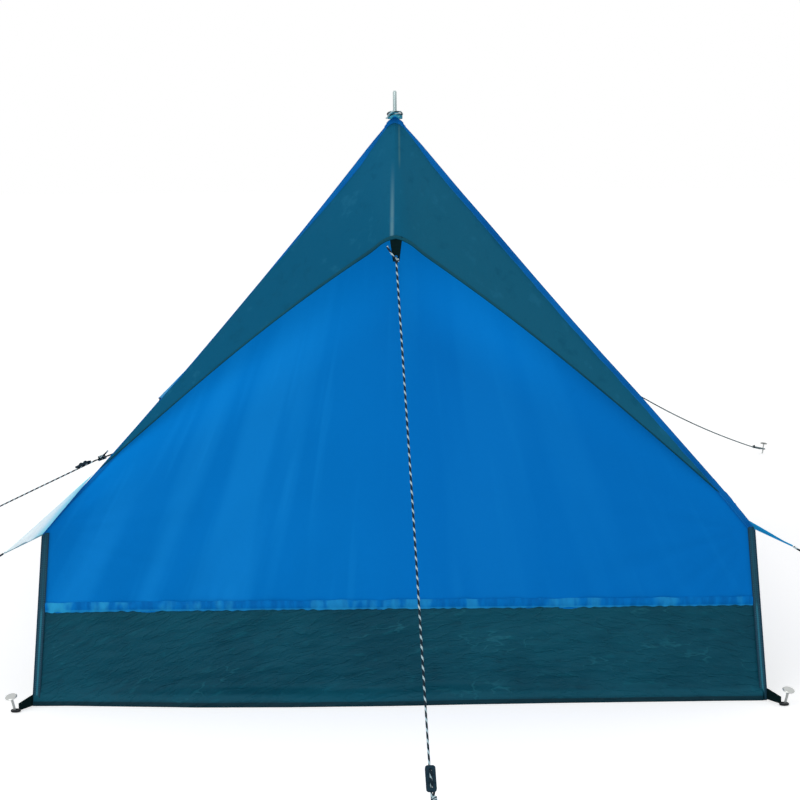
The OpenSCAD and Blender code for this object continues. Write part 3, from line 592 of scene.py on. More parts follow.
def tub_place(u, v):
    """Goes round the four walls in one strip: wall 0 is the rear one, then right, front and left."""
    lap = END - 0.0008
    sides = np.array((2 * FLOOR_X, 2 * END, 2 * FLOOR_X, 2 * END))
    ends = np.concatenate(([0], np.cumsum(sides))) / sides.sum()
    wall = np.clip(np.searchsorted(ends, u, side="right") - 1, 0, 3)
    z = np.where(wall == 0, TUB_Z + REAR_LIFT, TUB_Z) * v
    w = side_x(z) - 0.0008
    f = ramp((u - ends[wall]) / (ends[wall + 1] - ends[wall]))
    x = np.choose(wall, ((2 * f - 1) * w, w, (1 - 2 * f) * w, -w))
    y = np.choose(wall, (-lap, (2 * f - 1) * lap, lap, (1 - 2 * f) * lap))
    run = u * sides.sum()
    rough = 0.0030 * creases(run, 1.8 * z, 0.16, 51) + 0.0014 * creases(run, 1.2 * z, 0.05, 52)
    rough += 0.0006 * waves(run, z, 0.02, 53)
    near_corner = np.minimum(f, 1 - f)
    edge = ramp(near_corner * 12) * ramp(TUB_Z - z, 0.02) * ramp(z, 0.008)
    roll = 0.0016 * np.exp(-(((z - 0.004) / 0.0035) ** 2)) * ramp(near_corner * 60)
    slump_top = 0.021 + 0.004 * waves(x, 0 * x, 0.22, 54, 3)
    slump = np.where(wall == 0, rear_slump(x), 0) / (1 + np.exp((z - slump_top) / 0.0035))
    out = rough * edge + slump + roll
    return x + np.choose(wall, (0, 1, 0, -1)) * out, y + np.choose(wall, (-1, 0, 1, 0)) * out, z


def tub_flat(u, v, p):
    return u * 4 * (FLOOR_X + END), p[:, 2]


def floor_place(u, v):
    x, y = (2 * u - 1) * (FLOOR_X - 0.0012), (2 * v - 1) * (END - 0.0012)
    edge = ramp(FLOOR_X - np.abs(x), 0.05) * ramp(END - np.abs(y), 0.05)
    z = 0.0005 + edge * (0.0012 + 0.0011 * creases(x, y, 0.12, 55))
    return x, y - rear_slump(x) * ramp(0.05 - END - y, 0.05), z


sew(cloth("tub_cloth", 620, 46, tub_place, tub_flat), "tub_cloth", (6.19, 0.15), "stretched",
    "tub_rear", "tub_front", "tub_sides", rests_on=("groundsheet",))
sew(cloth("floor_cloth", 110, 160, floor_place, level_flat), "tub_cloth", (1.19, 1.90), "laid", "groundsheet",
    rests_on=("ground",))

# %% [markdown]
# ## Seam band
# Where the thin wall meets the stiff tub, the seam is gathered: the cloth is a little longer
# than the seam, and it puckers between the stitches. Short waves of uneven length do that.

# %% Seam band
band_low, band_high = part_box("rear_seam_band")


def band_place(u, v):
    x = band_low.x + u * (band_high.x - band_low.x)
    pucker = waves(x, 0 * x, 0.016, 61, 5) + 0.7 * waves(x, 0 * x, 0.045, 62, 5)
    foot = band_low.z + np.interp(x, (-0.58, -0.30, 0.58), (0.0050, 0.0055, 0.0070))
    z = foot + v * (band_high.z + 0.0025 - foot)
    z = z + 0.0007 * pucker * (1 - v) + 0.0008 * waves(x, 0 * x, 0.03, 63, 5) * v
    y = -END - 0.0012 - 0.0016 * np.sin(np.pi * ramp(v)) * (1 + 0.5 * pucker)
    return x, y, z


sew(cloth("rear_seam_band_cloth", 520, 12, band_place, facing_flat), "band_cloth", (1.16, 0.02),
    "gathered", "rear_seam_band", rests_on=("tub_rear",))

# %% [markdown]
# ## Roof
# The roof is one continuous sheet from eave to eave. It hangs a little between the poles along
# the ridge and hollows slightly down each slope, with folds at its four pulled corners.

# %% Roof
SLOPE_LEN = math.hypot(EAVE_X, RIDGE_Z - EAVE_Z)


def roof_place(u, v):
    w, t = 2 * u - 1, 2 * v - 1
    a = np.abs(w)
    y = t * (END - 0.0005)
    hang = 1 - t**2
    x = w * (EAVE_X - 0.0006)
    z = RIDGE_Z - 0.0008 - np.sqrt(a * a + 0.006**2) * (RIDGE_Z - EAVE_Z)
    z = z - RIDGE_SAG * hang * (1 - a)
    dip = 0.016 * np.sin(np.pi * a) * hang**0.7
    left_cut = np.where(t > 0, hollow(z, -1, True), hollow(z, -1))
    dip += by_side(w, left_cut, hollow(z, 1)) * OUT_X * (1 - hang) ** 2
    run = a * SLOPE_LEN
    folds = np.zeros_like(run)
    for cy in (-END, END):
        folds += 0.0035 * fan(run, y, (SLOPE_LEN, cy), 15, 0.30, 71)
        folds += 0.0022 * fan(run, y, (0, cy), 13, 0.22, 72)
    folds += 0.0022 * fan(run, y, (SLOPE_LEN, 0), 13, 0.18, 73)
    folds += 0.0010 * waves(run * np.sign(w), y, 0.30, 74)
    folds = folds * ramp(END - np.abs(y), 0.02) * ramp(a, 0.05) * ramp(1 - a, 0.02)
    inwards = dip + np.abs(folds) * 0.2 + folds
    return x - np.sign(w) * inwards * OUT_X, y, z - inwards * OUT_Z


roof = cloth("roof_cloth", 130, 170, roof_place, lambda u, v, p: (p[:, 1], (2 * u - 1) * SLOPE_LEN))
sew(roof, "roof_cloth", (2 * SLOPE_LEN, 2 * END), "stretched", "roof_left", "roof_right")

# %% [markdown]
# ## Side walls, and the tape along the ridge
# Below each eave a short upright wall closes the gap down to the tub. It hangs plain, pulled
# only at its seams. The tape along the ridge covers the seam where the two slopes meet.


# %% Side walls
def side_wall_place(sx):
    def place(u, v):
        y = (2 * u - 1) * (END - 0.0006)
        z = TUB_Z + v * (EAVE_Z - 0.0004 - TUB_Z)
        inwards = 0.006 * np.sin(np.pi * v) * (1 - (y / END) ** 4)
        inwards = inwards + 0.0016 * waves(y, 0.2 * z, 0.07, 81 + sx) * np.sin(np.pi * v)
        return sx * (side_x(z) - 0.0006 - inwards * ramp(END - np.abs(y), 0.02)), y, z
    return place


t = np.linspace(-1, 1, 100)
ridge = line_of(0, t * END, RIDGE_Z + 0.0008 - RIDGE_SAG * (1 - t**2))
for side, sx in SIDES:
    wall = cloth("side_wall_cloth_" + side, 220, 12, side_wall_place(sx), sideways_flat)
    sew(wall, "side_cloth", (1.90, 0.135), "stretched", *on_left(sx, "side_walls"))
    seam_x, seam_y = sx * (side_x(TUB_Z) + 0.0004), END - 0.012
    seam = line_between((seam_x, -seam_y, TUB_Z), (seam_x, seam_y, TUB_Z), 120)
    tape("tub_seam_" + side, seam, (0, 0, 1), 0.009, "side_cloth", thick=0.0016)
for side, sx in SIDES:
    tape("ridge_tape_" + side, ridge + (sx * 0.0082, 0, -0.0105), (sx * OUT_Z, 0, -OUT_X), 0.0250,
         "roof_cloth", *on_left(sx, "ridge_tape"), thick=0.0012)
print("roof done, pieces:", len(tent_parts))

# %% [markdown]
# ## Front wall and the two door leaves
# The other end opens. Its door is two leaves that meet at a zip and fold out sideways, so each
# leaf is a sheet of its own that rides on its body. The folds only go inwards there, because
# the zip tapes lie on the outer face.

# %% Front wall and doors
leaf_low, leaf_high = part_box("door_right")
DOOR_TOP, DOOR_FOOT = leaf_high.z, leaf_low.z
foot_x = leaf_high.x
top_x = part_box("zip_chain_right")[0].x + 0.018


def hinge_x(z):
    return foot_x - (z - DOOR_FOOT) * (foot_x - top_x) / (DOOR_TOP - DOOR_FOOT)


def front_wall_place(sx):
    def place(u, v):
        z = DOOR_FOOT + v * (RIDGE_Z - 0.003 - DOOR_FOOT)
        above = np.clip(top_x - (z - DOOR_TOP) * 40, 0.0001, None)
        inner = np.where(z < DOOR_TOP, hinge_x(z) + 0.0006, above)
        outer = np.maximum(end_x(z, sx, True) - 0.0015, inner + 1e-5)
        x = inner + u * (outer - inner)
        depth = np.minimum(x - inner, outer - x)
        fold = np.abs(0.004 * fan(x, z, (EAVE_X, EAVE_Z), 17, 0.2, 91)) + 0.0008 * (1 + waves(x, z, 0.1, 92))
        return sx * x, END - 0.0010 - fold * ramp(depth, 0.02), z
    return place


def leaf_place(sx):
    def place(u, v):
        z = DOOR_FOOT + v * (DOOR_TOP - DOOR_FOOT)
        x = 0.0006 + u * (hinge_x(z) - 0.0012)
        free = ramp(x, 0.05) * ramp(hinge_x(z) - x, 0.02) * ramp(z - DOOR_FOOT, 0.03)
        fold = np.abs(0.004 * fan(x, z, (foot_x, DOOR_FOOT), 15, 0.25, 95))
        fold = fold + 0.0012 * (1 + waves(x, 0.5 * z, 0.14, 96))
        return sx * x, END - 0.0010 - fold * free, z
    return place


for side, sx in SIDES:
    wall = cloth("front_wall_cloth_" + side, 40, 120, front_wall_place(sx), facing_flat)
    sew(wall, "wall_cloth", (0.80, 0.18), "stretched", *on_left(sx, "front_walls"), area=0.077)
    leaf = cloth("door_cloth_" + side, 70, 110, leaf_place(sx), facing_flat)
    sew(leaf, "wall_cloth", (0.50, 0.744), "stretched", "door_" + side, body="door_" + side, area=0.192,
        rests_on=("front_wall_cloth_" + side,))
    z = np.linspace(DOOR_FOOT, DOOR_TOP, 60)
    hinge = line_of(sx * (hinge_x(z) + 0.006), END + 0.0006, z)
    tape("door_seam_" + side, hinge, (sx, 0, 0), 0.011, "slope_binding", thick=0.0008)

# %% [markdown]
# ## Zips
# A coil zip is a woven tape with one row of small hooked turns. At this size each turn is a
# rounded bar with a few faces, made once and repeated by an Array modifier. Modelling the real
# spiral would take a hundred times the faces, and nobody would see it.

# %% Zip tapes and teeth
TAPE_Y, TEETH_Y = END + 0.0005, END + 0.0016
TAPE_WIDE, TAPE_THICK = 0.0140, 0.0006
CHAIN_X, SILL_Z, PITCH = 0.0040, DOOR_FOOT + 0.0040, 0.0022
SILL_FROM, SILL_TO = 0.0130, foot_x - 0.0290
CENTRE_FROM, CENTRE_TO = DOOR_FOOT + 0.018, DOOR_TOP - 0.006


def teeth(name, first, step, length, size, body):
    bpy.ops.object.select_all(action="DESELECT")
    bpy.ops.mesh.primitive_cube_add(size=1)
    piece = bpy.context.object
    piece.name = piece.data.name = name
    bpy.ops.object.mode_set(mode="EDIT")
    bpy.ops.mesh.select_all(action="SELECT")
    bpy.ops.transform.resize(value=size)
    bpy.ops.mesh.bevel(offset=0.28 * min(size), segments=1, affect="EDGES")
    bpy.ops.transform.translate(value=first)
    bpy.ops.object.mode_set(mode="OBJECT")
    row = piece.modifiers.new("row", "ARRAY")
    row.use_relative_offset, row.use_constant_offset = False, True
    row.constant_offset_displace = step
    row.count = int(length / PITCH)
    print(name, row.count, "teeth")
    bpy.ops.object.modifier_apply(modifier=row.name)
    bpy.ops.object.shade_smooth_by_angle(angle=math.radians(40))
    wear(piece, "zip_metal", body=body)


for side, sx in SIDES:
    body = "door_" + side
    z = np.linspace(DOOR_FOOT + 0.0002, DOOR_TOP - 0.003, 80)
    tape("zip_tape_centre_" + side, line_of(sx * 0.0078, TAPE_Y, z), (sx, 0, 0), TAPE_WIDE,
         "zip_tape", body=body, thick=TAPE_THICK)
    x = np.linspace(0.016, foot_x - 0.022, 80)
    tape("zip_tape_sill_" + side, line_of(sx * x, TAPE_Y, DOOR_FOOT + 0.0078), (0, 0, 1), TAPE_WIDE,
         "zip_tape", "zip_chain_" + side, body=body, thick=TAPE_THICK)
    teeth("zip_teeth_sill_" + side, (sx * SILL_FROM, TEETH_Y, SILL_Z), (sx * PITCH, 0, 0),
          SILL_TO - SILL_FROM, (0.0013, 0.0014, 0.0046), body)
teeth("zip_teeth_centre", (CHAIN_X, TEETH_Y, CENTRE_FROM), (0, 0, PITCH), CENTRE_TO - CENTRE_FROM,
      (0.0046, 0.0014, 0.0013), "door_right")
sill_low, sill_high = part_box("sill_zip_tape")
x = np.linspace(sill_low.x, sill_high.x, 120)
tape("zip_tape_floor", line_of(x, TAPE_Y, (sill_low.z + sill_high.z) / 2), (0, 0, 1),
     sill_high.z - sill_low.z, "zip_tape", "sill_zip_tape", thick=TAPE_THICK)

# %% [markdown]
# ## Wings at the eaves
# A small triangle of thin pale cloth spreads the pull of each corner line over the roof edge.
# It is a grid again, but one side of the grid shrinks to the point where the line is tied. The
# rear right one is folded down, so only a narrow strip of it is left along the roof's edge.

# %% Wings
FOLDED, STOPS_AT = 0.14, 0.985
for end, sy in ENDS:
    wing_low, wing_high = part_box(end + "_wings")
    tip_y = max(abs(wing_low.y), abs(wing_high.y))
    for side, sx in SIDES:
        on_cut = (end, side) == ("front", "left")
        top_in = 0.0004 + (hollow(wing_high.z, -1, True) if on_cut else 0)
        top = np.array((slope_x(wing_high.z) - top_in, END + 0.0018, wing_high.z))
        low = np.array((EAVE_X - (0.0030 if on_cut else 0), END + 0.0018, EAVE_Z))
        tip = np.array((wing_high.x, tip_y - 0.0006, wing_low.z + 0.0008))
        if (end, side) == ("rear", "right"):
            top = low + FOLDED * (top - low)
        sewn_edge, reach = np.linalg.norm(top - low), np.linalg.norm(tip - low)

        def wing_place(u, v, top=top, low=low, tip=tip, reach=reach, sx=sx, sy=sy):
            sewn = top + u[:, None] * (low - top)
            p = sewn + (v * STOPS_AT)[:, None] * (tip - sewn)
            p[:, 2] -= 0.020 * reach * np.sin(np.pi * u) * np.sin(np.pi * v)
            p[:, 0] += 0.008 * reach * waves(u * 0.12, v * 0.12, 0.05, 101) * np.sin(np.pi * v)
            return sx * p[:, 0], sy * p[:, 1], p[:, 2]

        wing = cloth("%s_wing_%s" % (end, side), 26, 30, wing_place,
                     lambda u, v, p, w=sewn_edge, l=reach: (u * w, v * l), thick=0.0005)
        sew(wing, "wing_cloth" if end == "rear" else "front_wing_cloth",
            (round(sewn_edge, 3), round(1.12 * reach, 3)), "stretched", *on_left(sx, end + "_wings"),
            area=round(0.5 * sewn_edge * reach * 1.02, 5), rests_on=("roof_cloth",))
        lower = line_between(low, low + STOPS_AT * (tip - low)) * (sx, sy, 1)
        tape("%s_wing_hem_%s" % (end, side), lower, (0, 0, 1), np.linspace(0.0035, 0.0025, 30),
             "slope_binding", thick=0.0012)

# %% [markdown]
# ## Webbing
# Everything that is pulled ends in a piece of black webbing, 1.5 mm thick. A strap is a strip
# like the tapes, and the holes for cord and spike are cut with a Boolean, as a punch would.


# %% Webbing tabs and loops
WEBBING = 0.0015
CORD_HOLE, SPIKE_HOLE = 0.0030, 0.0052
RING_R = 0.0083


def punch(piece, at, axis, radius):
    bpy.ops.object.select_all(action="DESELECT")
    bpy.ops.mesh.primitive_cylinder_add(vertices=32, radius=radius, depth=0.03)
    tool = bpy.context.object
    turned = Vector((0, 0, 1)).rotation_difference(Vector(axis)).to_matrix().to_4x4()
    tool.matrix_world = Matrix.Translation(at) @ turned
    hole = piece.modifiers.new("hole", "BOOLEAN")
    hole.object, hole.operation, hole.solver = tool, "DIFFERENCE", "EXACT"
    bpy.context.view_layer.objects.active = piece
    bpy.ops.object.modifier_apply(modifier=hole.name)
    bpy.data.objects.remove(tool)


def strap(name, line, side, width, *stands_for, bulge=0.0):
    return tape(name, line, side, width, "webbing", *stands_for, thick=WEBBING, bulge=bulge, columns=8)


tab_low, tab_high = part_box("hood_tab")
tab_y = (tab_low.y + tab_high.y) / 2
line = line_between((0, tab_y + 0.0030, tab_high.z - 0.008), (0, tab_y, tab_low.z), 40)
tab = strap("hood_strap", line, (1, 0, 0), np.linspace(0.020, 0.010, 40), "hood_tab")
punch(tab, (0, tab_y, tab_low.z + 0.007), (0, 1, 0), 0.0025)

tab_low, tab_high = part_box("ridge_tabs")
tab_z, tab_end = (tab_low.z + tab_high.z) / 2, tab_high.y
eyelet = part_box("ridge_eyelets")[1]
eyelet_y = eyelet.y - eyelet.x
BEHIND, ROUND_R, TAB_HALF = 0.017, 0.006, 0.0115
CAP_HALF, CAP_Z, CAP_DROP = 0.0135, 0.9402, 0.0080
for end, sy in ENDS:
    line = line_between((0, sy * (eyelet_y - BEHIND), tab_z), (0, sy * tab_end, tab_z), 40)
    reach = np.linspace(-BEHIND, tab_end - eyelet_y, 40)
    line[:, 2] -= 0.0050 + 0.0050 * ramp(reach - 0.006, 0.0135) ** 2
    left = reach[-1] - reach
    tip = 0.011 + 2 * np.sqrt(np.clip(ROUND_R**2 - (ROUND_R - left) ** 2, 0, None))
    width = np.where(left < ROUND_R, tip, 2 * TAB_HALF)
    tab = strap(end + "_ridge_strap", line, (1, 0, 0), width, *(("ridge_tabs",) if sy < 0 else ()),
                bulge=-sy * 0.0050)
    cap_x = np.linspace(-CAP_HALF, CAP_HALF, 24)
    cap = line_of(cap_x, sy * (END + 0.0030), CAP_Z - CAP_DROP * (cap_x / CAP_HALF) ** 2)
    tape(end + "_ridge_cap", cap, (0, 0, 1), 0.0085, "slope_binding")
    punch(tab, (0, sy * eyelet_y, tab_z), (0, 0, 1), SPIKE_HOLE)
    punch(tab, (0, sy * (tab_end - 0.009), tab_z), (0, 0, 1), CORD_HOLE)

for side, sx, droop, out in (("left", -1, 20, 0.0014), ("right", 1, 60, 0.0022)):
    down, over = math.sin(math.radians(droop)), math.cos(math.radians(droop))
    along, face = np.array((sx * over, 0, -down)), np.array((sx * down, 0, over))
    start = np.array((sx * (EAVE_X + out), 0, EAVE_Z - 0.0016)) - WEBBING / 2 * face
    tab = strap("eave_strap_" + side, line_between(start, start + 0.034 * along, 24), (0, 1, 0), 0.016,
                *on_left(sx, "eave_tabs"))
    punch(tab, tuple(start + 0.028 * along), tuple(face), CORD_HOLE)

ring_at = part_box("corner_rings")[1]
ring_mid = np.array((ring_at.x - 0.008, ring_at.y - 0.008, 0))
corner = np.array((FLOOR_X, END + 0.0013, 0))
to_ring = ring_mid - corner
loop_len = np.linalg.norm(to_ring) - RING_R
steps = np.linspace(0, 1, 24)
tall = 0.018 + steps * (0.010 - 0.018) * loop_len / 0.044
for end, sy in ENDS:
    for side, sx in SIDES:
        line = (corner + steps[:, None] * loop_len * to_ring / np.linalg.norm(to_ring)) * (sx, sy, 1)
        line[:, 2] = 0.0005 + tall / 2
        strap("%s_floor_strap_%s" % (end, side), line, (0, 0, 1), tall,
              *(("floor_loops",) if (sx, sy) == (-1, -1) else ()))
x = np.linspace(FLOOR_X + 0.0004, FLOOR_X + 0.035 - RING_R, 20)
for side, sx in SIDES:
    strap("mid_floor_strap_" + side, line_of(sx * x, 0, 0.0018), (0, 1, 0), np.linspace(0.018, 0.012, 20))
tie_low, tie_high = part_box("door_tie_loops")
tie_z = np.linspace(tie_high.z, tie_low.z, 24)
for side, sx in SIDES:
    line = line_of(sx * (tie_high.x - 0.006), END + WEBBING / 2, tie_z)
    strap("door_tie_" + side, line, (1, 0, 0), 0.012, *on_left(sx, "door_tie_loops"))
print("straps done, pieces:", len(tent_parts))

# %% [markdown]
# ## Vent net and the cord at the ridge
# The net is a sheet like the others: its open weave is in the material, where the alpha of the
# holes is cheaper than real threads. Its edge is covered by a binding.

# %% Net and ridge cord
NET_Y, BINDING_Y = -END - 0.0006, -END - 0.0013
BINDING = 0.010


def net_place(u, v):
    z = net_low.z + v * (net_high.z - net_low.z)
    return (2 * u - 1) * (net_high.x - (z - net_low.z) / FALL), NET_Y + 0 * z, z


net = cloth("vent_net_cloth", 30, 24, net_place, facing_flat, thick=0.0003)
sew(net, "netting", (0.194, 0.113), "stretched", "rear_vent_net", area=0.011, rests_on=("rear_wall_cloth",))
x = np.linspace(BINDING - net_high.x, net_high.x - BINDING, 40)
tape("vent_binding_low", line_of(x, BINDING_Y, net_low.z + BINDING / 2), (0, 0, 1), BINDING,
     "slope_binding", thick=0.0008)
for side, sx in SIDES:
    z = np.linspace(net_low.z + 0.004, net_high.z - 0.004, 40)
    edge = line_of(sx * (net_high.x - 0.0066 - (z - net_low.z) / FALL), BINDING_Y, z)
    tape("vent_binding_" + side, edge, (OUT_X, 0, sx * OUT_Z), BINDING, "slope_binding", thick=0.0008)

LOOPS_MM = [
    (-14.0, 4, -9.5), (-10.0, 3, -6.0), (-3.5, 4, -2.6), (4.0, 5, -2.0), (9.5, 9, -2.8), (11.8, 17, -3.4),
    (9.0, 30, 0.6), (0, 33, 1.0), (-9.0, 29, 0.6), (-11.8, 17, -3.0), (-9.4, 8, -0.8), (-3.0, 6.5, 0.8),
    (4.5, 8.5, 1.0), (8.8, 13, 0.4), (9.2, 20, 1.6),
]
loop_path = np.array(LOOPS_MM) / 1000 + (0, -tab_end, tab_z)
loops = tube("ridge_cord_loops", smooth_path(loop_path, 0.002), 0.0011, 8)[0]
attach(loops, "tent")
knots.append(loops)
print("loops of cord at the ridge:", len(loops.data.vertices), "points")

# %% [markdown]
# ## Cord across the line sliders
# A slider holds because the cord is threaded over and under it. The long cord passes behind the
# bar, and a short strand lies over its face and dips into the holes. The bar's own direction is
# found from its points: the longest spread is its length, and the smallest is its thickness.

# %% Strands on the sliders
THREADED = ((-0.0120, -0.0030), (-0.0100, 0.0006), (-0.0060, 0.0018), (-0.0022, 0.0004), (0, -0.0014),
            (0.0022, 0.0004), (0.0060, 0.0018), (0.0100, 0.0006), (0.0120, -0.0030))
for name in [n for n in nodes if n.startswith("runner_")]:
    bar = np.array([v.co for v in nodes[name].data.vertices])
    middle = bar.mean(0)
    spread = np.linalg.eigh(np.cov((bar - middle).T))[1]
    length_way, thick_way = spread[:, 2], spread[:, 0]
    dense = smooth_path(np.array(ROUTES_MM[name.replace("runner", "guy")]) / 1000)
    near = dense[np.argmin(np.linalg.norm(dense - middle, axis=1))]
    if (middle - near) @ thick_way < 0:
        thick_way = -thick_way
    across = (bar - middle) @ length_way
    middle = middle + length_way * (across.min() + across.max()) / 2
    face = ((bar - middle) @ thick_way).max()
    strand_path = [middle + a * length_way + (face + rise) * thick_way for a, rise in THREADED]
    strand = tube(name + "_strand", smooth_path(strand_path, 0.002), sides=8)[0]
    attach(strand, name)
    knots.append(strand)
print("strands on sliders:", sum("strand" in k.name for k in knots))

# %% [markdown]
# ## Materials
# Each finish is a small network of nodes. Wiring them by hand hides the idea, so a wrapper lets
# a pattern be written as arithmetic: a Wire stands for a socket, and adding two Wires adds a
# Math node. What is the same all over goes straight on the shader's own socket.


# %% Wires and paints
def tint(red, green, blue):
    def straight(c):
        c /= 255
        return c / 12.92 if c <= 0.04045 else ((c + 0.055) / 1.055) ** 2.4
    return straight(red), straight(green), straight(blue), 1.0


def add_node(tree, kind, settings=(), sockets=()):
    """Adds a node, sets it up, and joins or fills its sockets."""
    made = tree.nodes.new(kind)
    for key, value in dict(settings).items():
        setattr(made, key, value)
    for key, value in dict(sockets).items():
        if isinstance(value, bpy.types.NodeSocket):
            tree.links.new(value, made.inputs[key])
        else:
            made.inputs[key].default_value = value
    return made


def arithmetic(action, swapped=False):
    def write(self, *other):
        return self.paint.maths(action, *((*other, self) if swapped else (self, *other)))
    return write


class Wire:
    def __init__(self, paint, socket):
        self.paint, self.socket = paint, socket

    __add__ = __radd__ = arithmetic("ADD")
    __mul__ = __rmul__ = arithmetic("MULTIPLY")
    __sub__, __rsub__ = arithmetic("SUBTRACT"), arithmetic("SUBTRACT", swapped=True)
    __truediv__ = arithmetic("DIVIDE")
    sin, fract, size = arithmetic("SINE"), arithmetic("FRACT"), arithmetic("ABSOLUTE")

    def wave(self):
        return self.sin() * 0.5 + 0.5

    def rise(self, low, high):
        node = self.paint.node("ShaderNodeMapRange", dict(interpolation_type="SMOOTHSTEP"),
                               {0: self, 1: low, 2: high})
        return Wire(self.paint, node.outputs[0])


paints = {}


class Paint:
    def __init__(self, name, rough=0.6, metal=0.0, shine=0.5):
        paints[name] = self
        self.material = bpy.data.materials.new(name)
        self.material.use_nodes = True
        self.tree = self.material.node_tree
        self.tree.nodes.clear()
        self.shader = self.node("ShaderNodeBsdfPrincipled", {}, {
            "Roughness": rough, "Metallic": metal, "Specular IOR Level": shine})
        self.node("ShaderNodeOutputMaterial", {}, {0: self.shader.outputs[0]})
        self.spot = Wire(self, self.node("ShaderNodeTexCoord").outputs["Object"])
        self.x, self.y, self.z = self.parts(self.spot)
        chart = self.node("ShaderNodeUVMap", dict(uv_map="UVMap"))
        self.u, self.v, _ = self.parts(chart.outputs[0])

    def node(self, kind, settings=(), sockets=()):
        sockets = {key: getattr(value, "socket", value) for key, value in dict(sockets).items()}
        return add_node(self.tree, kind, settings, sockets)

    def maths(self, action, *values):
        made = self.node("ShaderNodeMath", dict(operation=action), enumerate(values))
        return Wire(self, made.outputs[0])

    def parts(self, wire):
        made = self.node("ShaderNodeSeparateXYZ", {}, {0: wire})
        return [Wire(self, out) for out in made.outputs]

    def join(self, x, y, z):
        made = self.node("ShaderNodeCombineXYZ", {}, {0: x, 1: y, 2: z})
        return Wire(self, made.outputs[0])

    def mix(self, share, a, b):
        made = self.node("ShaderNodeMix", dict(data_type="RGBA"), {0: share, 6: a, 7: b})
        return Wire(self, made.outputs[2])

    def layers(self, first, *coats):
        """Starts from one colour and lays the others over it, each by its own share."""
        body = tint(*first)
        for share, colour in coats:
            body = self.mix(share, body, tint(*colour))
        return body

    def noise(self, where, scale, detail=3.0, stretch=(1, 1, 1), rough=0.5):
        spread = self.node("ShaderNodeMapping", {}, {"Vector": where, "Scale": stretch})
        made = self.node("ShaderNodeTexNoise", {}, {
            "Vector": spread.outputs[0], "Scale": scale, "Detail": detail, "Roughness": rough})
        return Wire(self, made.outputs[0])

    def link(self, name, wire):
        self.tree.links.new(wire.socket, self.shader.inputs[name])

    def glow(self, wire, level):
        """Painted light: the cloth glows a little in its own colour, standing in for light that comes through
        thin cloth.
        """
        self.link("Emission Color", wire)
        self.shader.inputs["Emission Strength"].default_value = level

    def bump(self, height, depth):
        made = self.node("ShaderNodeBump", {}, {"Strength": 1.0, "Distance": depth, "Height": height})
        self.link("Normal", Wire(self, made.outputs[0]))

    def coat(self, body, rough, height, depth, through=None):
        self.link("Base Color", body)
        self.link("Roughness", rough)
        self.bump(height, depth)
        # through is the strength of that painted glow.
        if through:
            self.glow(body, through)


TURN = 2 * math.pi
WEAVE = 0.0008


def threads(paint, pitch=WEAVE):
    return (paint.u * (TURN / pitch)).sin() * (paint.v * (TURN / pitch)).sin() * 0.5 + 0.5


def wrinkles(paint, fine):
    return paint.noise(paint.spot, 24.0, 4, rough=0.55) * 0.9 + fine * 0.02


# %% [markdown]
# ## Cloth finishes
# Coated tent cloth is matt, with a fine weave, a slow change of tone from the coating, and soft
# lighter and darker streaks along the pull, painted as the light and shade of its folds. A weak glow
# of the cloth's own colour is painted light for the light that comes through it. A low specular level
# keeps the blue deep: a little white reflection is enough to make a saturated blue look chalky.


# %% Cloth
def cloth_paint(name, base, light, dark, shine=0.02):
    paint = Paint(name, rough=0.66, shine=shine)
    tone = paint.noise(paint.spot, 3.2, 3)
    # Painted light and shade: lighter streaks along the folds, and a weak painted glow below.
    painted_fold_streaks = paint.noise(paint.spot, 5.0, 3, stretch=(1.2, 1, 4))
    fine = threads(paint)
    body = paint.layers(dark, (tone.rise(0.30, 0.72), base), (painted_fold_streaks.rise(0.52, 0.78) * 0.6, light),
                        (fine * 0.10, dark))
    paint.coat(body, 0.60 + tone * 0.14, wrinkles(paint, fine), 0.0012, through=0.10)


paint = Paint("wall_cloth", rough=0.66, shine=0.02)
# Painted light: broad and narrow lighter streaks fan out from a point above the ridge, along the folds.
rays = paint.join(paint.x / (1.18 - paint.z), 0.0, paint.z * 0.10)
tone = paint.noise(paint.spot, 3.2, 3)
broad = paint.noise(rays, 9.0, 2).rise(0.48, 0.62)
narrow_light_streaks = paint.noise(rays, 34.0, 2).rise(0.56, 0.74)
fine = threads(paint)
body = paint.layers(
    (1, 103, 177), (tone.rise(0.30, 0.72), (2, 107, 183)), (broad * 0.46 + narrow_light_streaks * 0.25, (14, 122, 196)),
    # Painted shade: the wall's right half is painted a little darker.
    (paint.x.rise(-0.10, 0.10) * 0.55, (1, 96, 172)), (fine * 0.08, (1, 96, 170)))
# Painted light: the wall glows in its own colour, brighter just below the hood, where the hood's shadow falls
# on it.
painted_light_under_hood = (paint.z + paint.x.size() * 0.62).rise(0.60, 0.75) * (1 - paint.x.rise(0.12, 0.36) * 0.6)
paint.coat(body, 0.60 + tone * 0.14, wrinkles(paint, fine), 0.0008)
paint.glow(paint.mix(painted_light_under_hood, paint.mix(0.47, body, tint(0, 0, 0)), tint(2, 146, 242)), 0.30)
cloth_paint("roof_cloth", (2, 110, 187), (10, 122, 198), (1, 98, 172))
cloth_paint("side_cloth", (2, 105, 180), (8, 118, 194), (1, 92, 162))
cloth_paint("front_wing_cloth", (56, 162, 212), (96, 190, 226), (34, 138, 194), shine=0.1)
print("cloth paints:", len(paints))

# %% Hood cloth
paint = Paint("hood_cloth", rough=0.62, shine=0.03)
tone = paint.noise(paint.spot, 4.0, 3)
